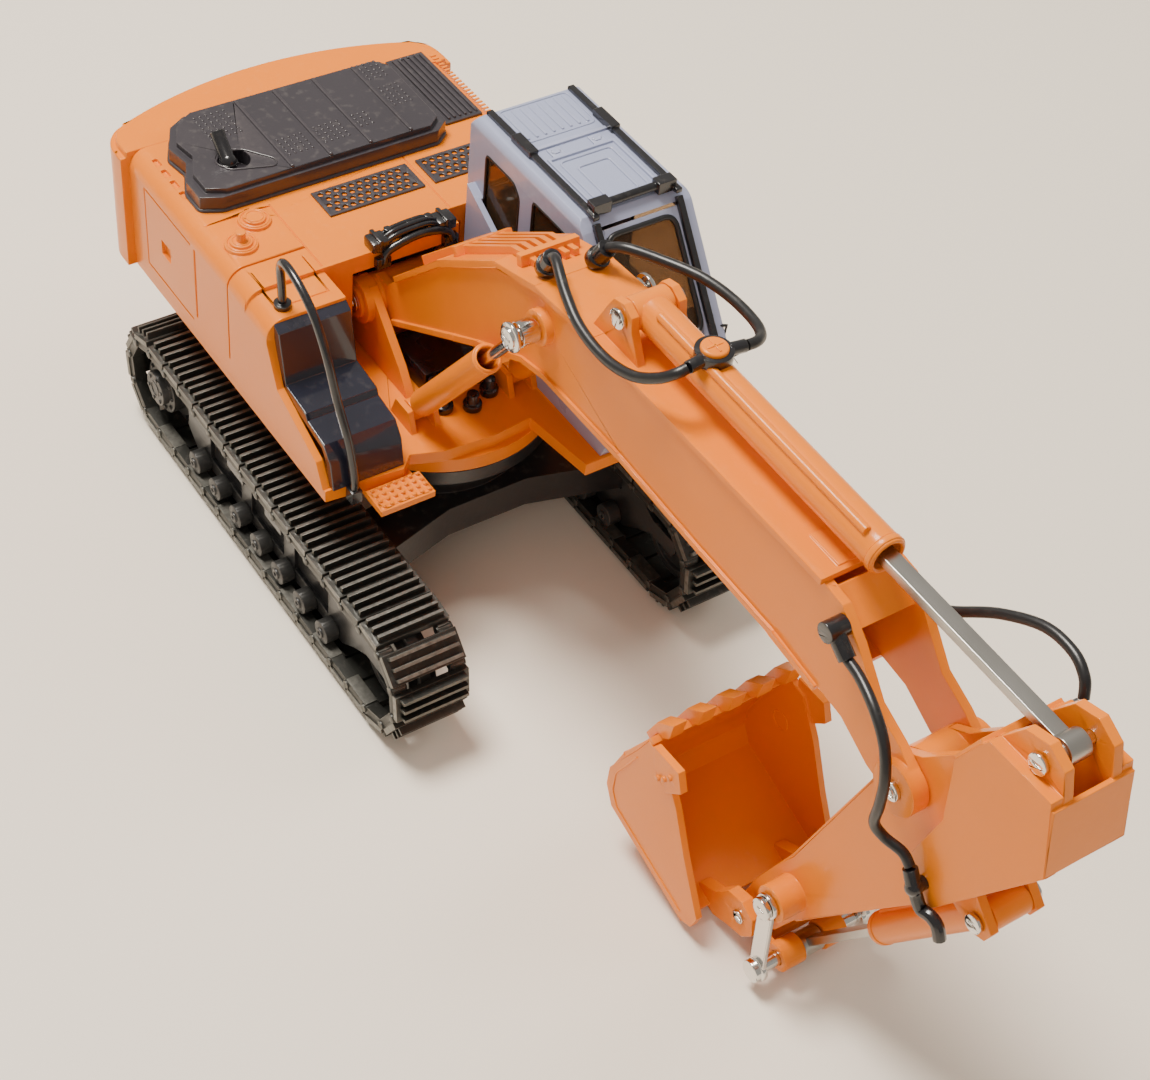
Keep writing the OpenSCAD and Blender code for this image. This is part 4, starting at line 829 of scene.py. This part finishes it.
class EXCAVATOR_OT_pipework(bpy.types.Operator):
    """Moulded black pipe clamps and pipes at the boom's foot"""
    bl_idname = "excavator.pipework"
    bl_label = "Pipework"

    def execute(self, context):
        pieces = [block((-10.6, -8.6, 56.9), (-7.1, -5.2, 59.0), 0.4),
                  block((-10.6, 4.4, 56.9), (-7.1, 8.0, 59.0), 0.4),
                  block((-10.2, -2.6, 56.9), (-7.3, 2.8, 58.5), 0.4),
                  block((-10.9, -7.4, 56.9), (-7.0, -6.6, 59.4), 0.2),
                  block((-10.9, 5.7, 56.9), (-7.0, 6.5, 59.4), 0.2)]
        for x, lift in ((-9.9, 0.0), (-8.8, 0.25), (-7.9, 0.0)):
            line = smooth_line([Vector(p) for p in (
                (x, -5.6, 58.2 + lift), (x, -4, 58.9 + lift), (x - 0.1, -1.8, 59.1 + lift),
                (x - 0.1, 1.8, 59.2 + lift), (x, 3.4, 58.9 + lift), (x, 4.8, 58.2 + lift))], 5)
            pieces.append(piping([tuple(p) for p in line], 0.5))
        for y in (-4.4, 0, 3.6):
            pieces.append(disc((-9.7, y, 58.6), (0, 0, 1), 0.8, 0.9, 0.15, 6))
        trim("pipe_clamps", "upper", "black", pieces)
        return {"FINISHED"}


class EXCAVATOR_OT_cab_trim(bpy.types.Operator):
    """Window seals, windscreen surround, roof frames, screws and door handle of the cab"""
    bl_idname = "excavator.cab_trim"
    bl_label = "Cab trim"

    def roof(self, x):
        """Height of the roof, which falls a little to the front."""
        return CAB_TOP - 0.3 * (x + 10.6) / 31

    def execute(self, context):
        frames = []
        for low, high, radius, size in (
                ((-10, 16.8), (-0.5, 30.6), 1.2, 0.16), ((6.4, 18.6), (18.2, 28.8), 1.0, 0.24),
                ((8.8, 20.6), (18.0, 26.8), 0.8, 0.24)):
            corners = [low, (high[0], low[1]), high, (low[0], high[1])]
            outline = rounded_outline(corners, radius)
            frames.append(piping([(p.x, p.y, self.roof(p.x) + 0.03) for p in outline], size, closed=True))
        frames.append(block((1.4, 16.4, CAB_TOP - 0.5), (2.2, 31.0, CAB_TOP + 0.3), 0.15))
        for y in (19.6, 27.8):
            frames.append(block((2.6, y - 1.2, CAB_TOP - 0.4), (5.0, y + 1.2, CAB_TOP + 0.15), 0.1))
        frames += self.windscreen_surround()
        trim("roof_frames", "upper", "cab", frames)
        screws = [dome((3.8, y + side, CAB_TOP + 0.15), 0.35, 0.25)
                  for y in (19.6, 27.8) for side in (-0.6, 0.6)]
        trim("hinge_screws", "upper", "cab", screws)
        seals = []
        rear_pane = [(-6.6, 55), (2.2, 55), (4, 57), (4, 69), (2, 71), (-6.6, 71)]
        front_pane = [(8, 50), (31.4, 50), (31.4, 55.8), (21.8, 71), (8, 71)]
        for y in (CAB_RIGHT + 0.1, CAB_LEFT - 0.1):
            for pane in (rear_pane, front_pane):
                seals.append(piping([(p.x, y, p.y) for p in rounded_outline(pane, 1.0)], 0.26, closed=True))
        rear = rounded_outline(
            [(CAB_RIGHT + 4, 60), (CAB_LEFT - 4, 60), (CAB_LEFT - 4, 72), (CAB_RIGHT + 4, 72)], 1.4)
        seals.append(piping([(-12.0, p.x, p.y) for p in rear], 0.3, closed=True))
        outline = rounded_outline([(1.4, 16.9), (21.6, 16.9), (21.6, 30.5), (1.4, 30.5)], 2.4, 8)
        seals.append(piping([self.on_screen(p.x, p.y, 0.0) for p in outline], 0.5, closed=True))
        trim("window_seals", "upper", "rubber", seals)
        handle = [piping([(7.0, CAB_LEFT, 47.5), (7.0, CAB_LEFT + 0.8, 47.5), (10.2, CAB_LEFT + 0.8, 47.5),
                          (10.2, CAB_LEFT, 47.5)], 0.22),
                  piping([(33.4, CAB_LEFT - 1, 42), (34.2, CAB_LEFT + 0.5, 42), (35.4, CAB_LEFT + 0.5, 56),
                          (34.6, CAB_LEFT - 1, 56)], 0.3)]
        trim("door_handles", "upper", "black", handle)
        return {"FINISHED"}

    def on_screen(self, along, across, out):
        """A point on the windscreen plane, measured down from its top edge."""
        down = Vector((14.2, -19.8)).normalized()
        return (SCREEN_TOP[0] + down.x * along - down.y * out, across,
                SCREEN_TOP[1] + down.y * along + down.x * out)

    def windscreen_surround(self):
        """Four flat bars round the windscreen, in its plane."""
        down = Vector((14.2, -19.8)).normalized()
        frame_turn = Matrix(((down.x, 0, -down.y), (0, 1, 0), (down.y, 0, down.x))).to_4x4()
        place = Matrix.Translation(mm(SCREEN_TOP[0], 0, SCREEN_TOP[1])) @ frame_turn
        pieces = []
        for low, high in (((0.2, 15.05, -0.6), (23.4, 17.0, -0.1)), ((0.2, 30.4, -0.6), (23.4, 32.35, -0.1)),
                          ((0.2, 16.8, -0.6), (1.6, 30.6, -0.1)), ((21.4, 16.8, -0.6), (23.4, 30.6, -0.1))):
            piece = block(low, high)
            piece.data.transform(place)
            pieces.append(piece)
        return pieces


class EXCAVATOR_OT_cylinder_trim(bpy.types.Operator):
    """Gland rings of the cylinders and the cap of the hose clip"""
    bl_idname = "excavator.cylinder_trim"
    bl_label = "Cylinder trim"

    def execute(self, context):
        for body, y in (("lift_cylinder_r", -LIFT_OFFSET), ("lift_cylinder_l", LIFT_OFFSET)):
            mouth = (LIFT_BASE[0] + LIFT_AXIS[0] * LIFT_BARREL, y, LIFT_BASE[1] + LIFT_AXIS[2] * LIFT_BARREL)
            # wide enough for the rod, which isn't quite in line at the ends of its travel
            trim("gland_" + body, body, "orange", [ring(mouth, LIFT_AXIS, 2.08, 0.24)])
        along, fall = ARM_AXIS[0], -ARM_AXIS[2]
        mouth = (ARM_BASE[0] + ARM_BARREL * along, 0, ARM_BASE[1] - ARM_BARREL * fall)
        clip = (ARM_BASE[0] + CLIP_ALONG * along + fall * CLIP_RISE, 0,
                ARM_BASE[1] - CLIP_ALONG * fall + CLIP_RISE)
        cap = disc(clip, (fall, 0, along), 2.1, 1.55, 0.35)
        cross = [block((clip[0] - 1.4, -0.16, clip[2] + 1.5), (clip[0] + 1.4, 0.16, clip[2] + 1.68), 0.05),
                 block((clip[0] - 0.16, -1.4, clip[2] + 1.5), (clip[0] + 0.16, 1.4, clip[2] + 1.68), 0.05)]
        trim("arm_cylinder_trim", "arm_cylinder", "orange", [ring(mouth, ARM_AXIS, 2.6, 0.38), cap, *cross])
        return {"FINISHED"}


class EXCAVATOR_OT_bucket_trim(bpy.types.Operator):
    """Groove beads and mould mark of the bucket"""
    bl_idname = "excavator.bucket_trim"
    bl_label = "Bucket trim"

    def execute(self, context):
        edge = [(85.6, 25.6), (81.2, 16.8), (81.0, 12.4), (82.6, 9.6), (101.4, 3.9)]
        beads = [piping([(x, y, z) for x, z in edge], 0.16) for y in (-14.02, 14.02)]
        beads.append(ring((88.4, 12.78, 21.5), (0, 1, 0), 1.8, 0.1))
        trim("bucket_beads", "bucket", "orange", beads)
        return {"FINISHED"}


class EXCAVATOR_OT_wheel_trim(bpy.types.Operator):
    """Bolt heads of the sprockets and idlers"""
    bl_idname = "excavator.wheel_trim"
    bl_label = "Wheel bolts"

    def execute(self, context):
        for node, body, x in (
                ("sprocket_right", "sprocket_r", -WHEEL_REACH), ("sprocket_left", "sprocket_l", -WHEEL_REACH),
                ("idler_right", "idler_r", WHEEL_REACH), ("idler_left", "idler_l", WHEEL_REACH)):
            low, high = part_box(node)
            side = -1 if (low[1] + high[1]) < 0 else 1
            face = (low[1] if side < 0 else high[1]) / MM
            bolts = []
            for i in range(6):
                turn = math.radians(60 * i + 15)
                spot = (x + BOLT_CIRCLE * math.cos(turn), face - side * 0.25,
                        WHEEL_HEIGHT + BOLT_CIRCLE * math.sin(turn))
                bolts.append(disc(spot, (0, side, 0), 0.42, 0.5, 0.1, 6))
            bolts.append(ring((x, face, WHEEL_HEIGHT), (0, 1, 0), 1.5, 0.15, 24))
            trim("bolts_" + node, body, "roller", bolts)
        return {"FINISHED"}


class EXCAVATOR_PT_panel(bpy.types.Panel):
    """Lists the build steps"""
    bl_idname = "EXCAVATOR_PT_panel"
    bl_label = "Excavator"
    bl_space_type = "VIEW_3D"
    bl_region_type = "UI"
    bl_category = "Excavator"

    def draw(self, context):
        column = self.layout.column()
        for step in STEPS:
            column.operator(step)


STEPS = (
    "excavator.stage", "excavator.hoses", "excavator.castings", "excavator.hood_trim", "excavator.pipework",
    "excavator.cab_trim", "excavator.cylinder_trim", "excavator.bucket_trim", "excavator.wheel_trim")
CLASSES = (PaintSettings, StageSettings, EXCAVATOR_OT_stage, EXCAVATOR_OT_hoses, EXCAVATOR_OT_castings,
           EXCAVATOR_OT_hood_trim, EXCAVATOR_OT_pipework, EXCAVATOR_OT_cab_trim, EXCAVATOR_OT_cylinder_trim,
           EXCAVATOR_OT_bucket_trim, EXCAVATOR_OT_wheel_trim, EXCAVATOR_PT_panel)


def register():
    for cls in CLASSES:
        bpy.utils.register_class(cls)
    bpy.types.Scene.excavator_paint = bpy.props.PointerProperty(type=PaintSettings)
    bpy.types.Scene.excavator_stage = bpy.props.PointerProperty(type=StageSettings)


def unregister():
    del bpy.types.Scene.excavator_stage
    del bpy.types.Scene.excavator_paint
    for cls in reversed(CLASSES):
        bpy.utils.unregister_class(cls)


def main():
    register()
    FINISHES.update(make_finishes(bpy.context.scene.excavator_paint))
    for step in STEPS:
        group, name = step.split(".")
        getattr(getattr(bpy.ops, group), name)()


if __name__ == "__main__":
    main()
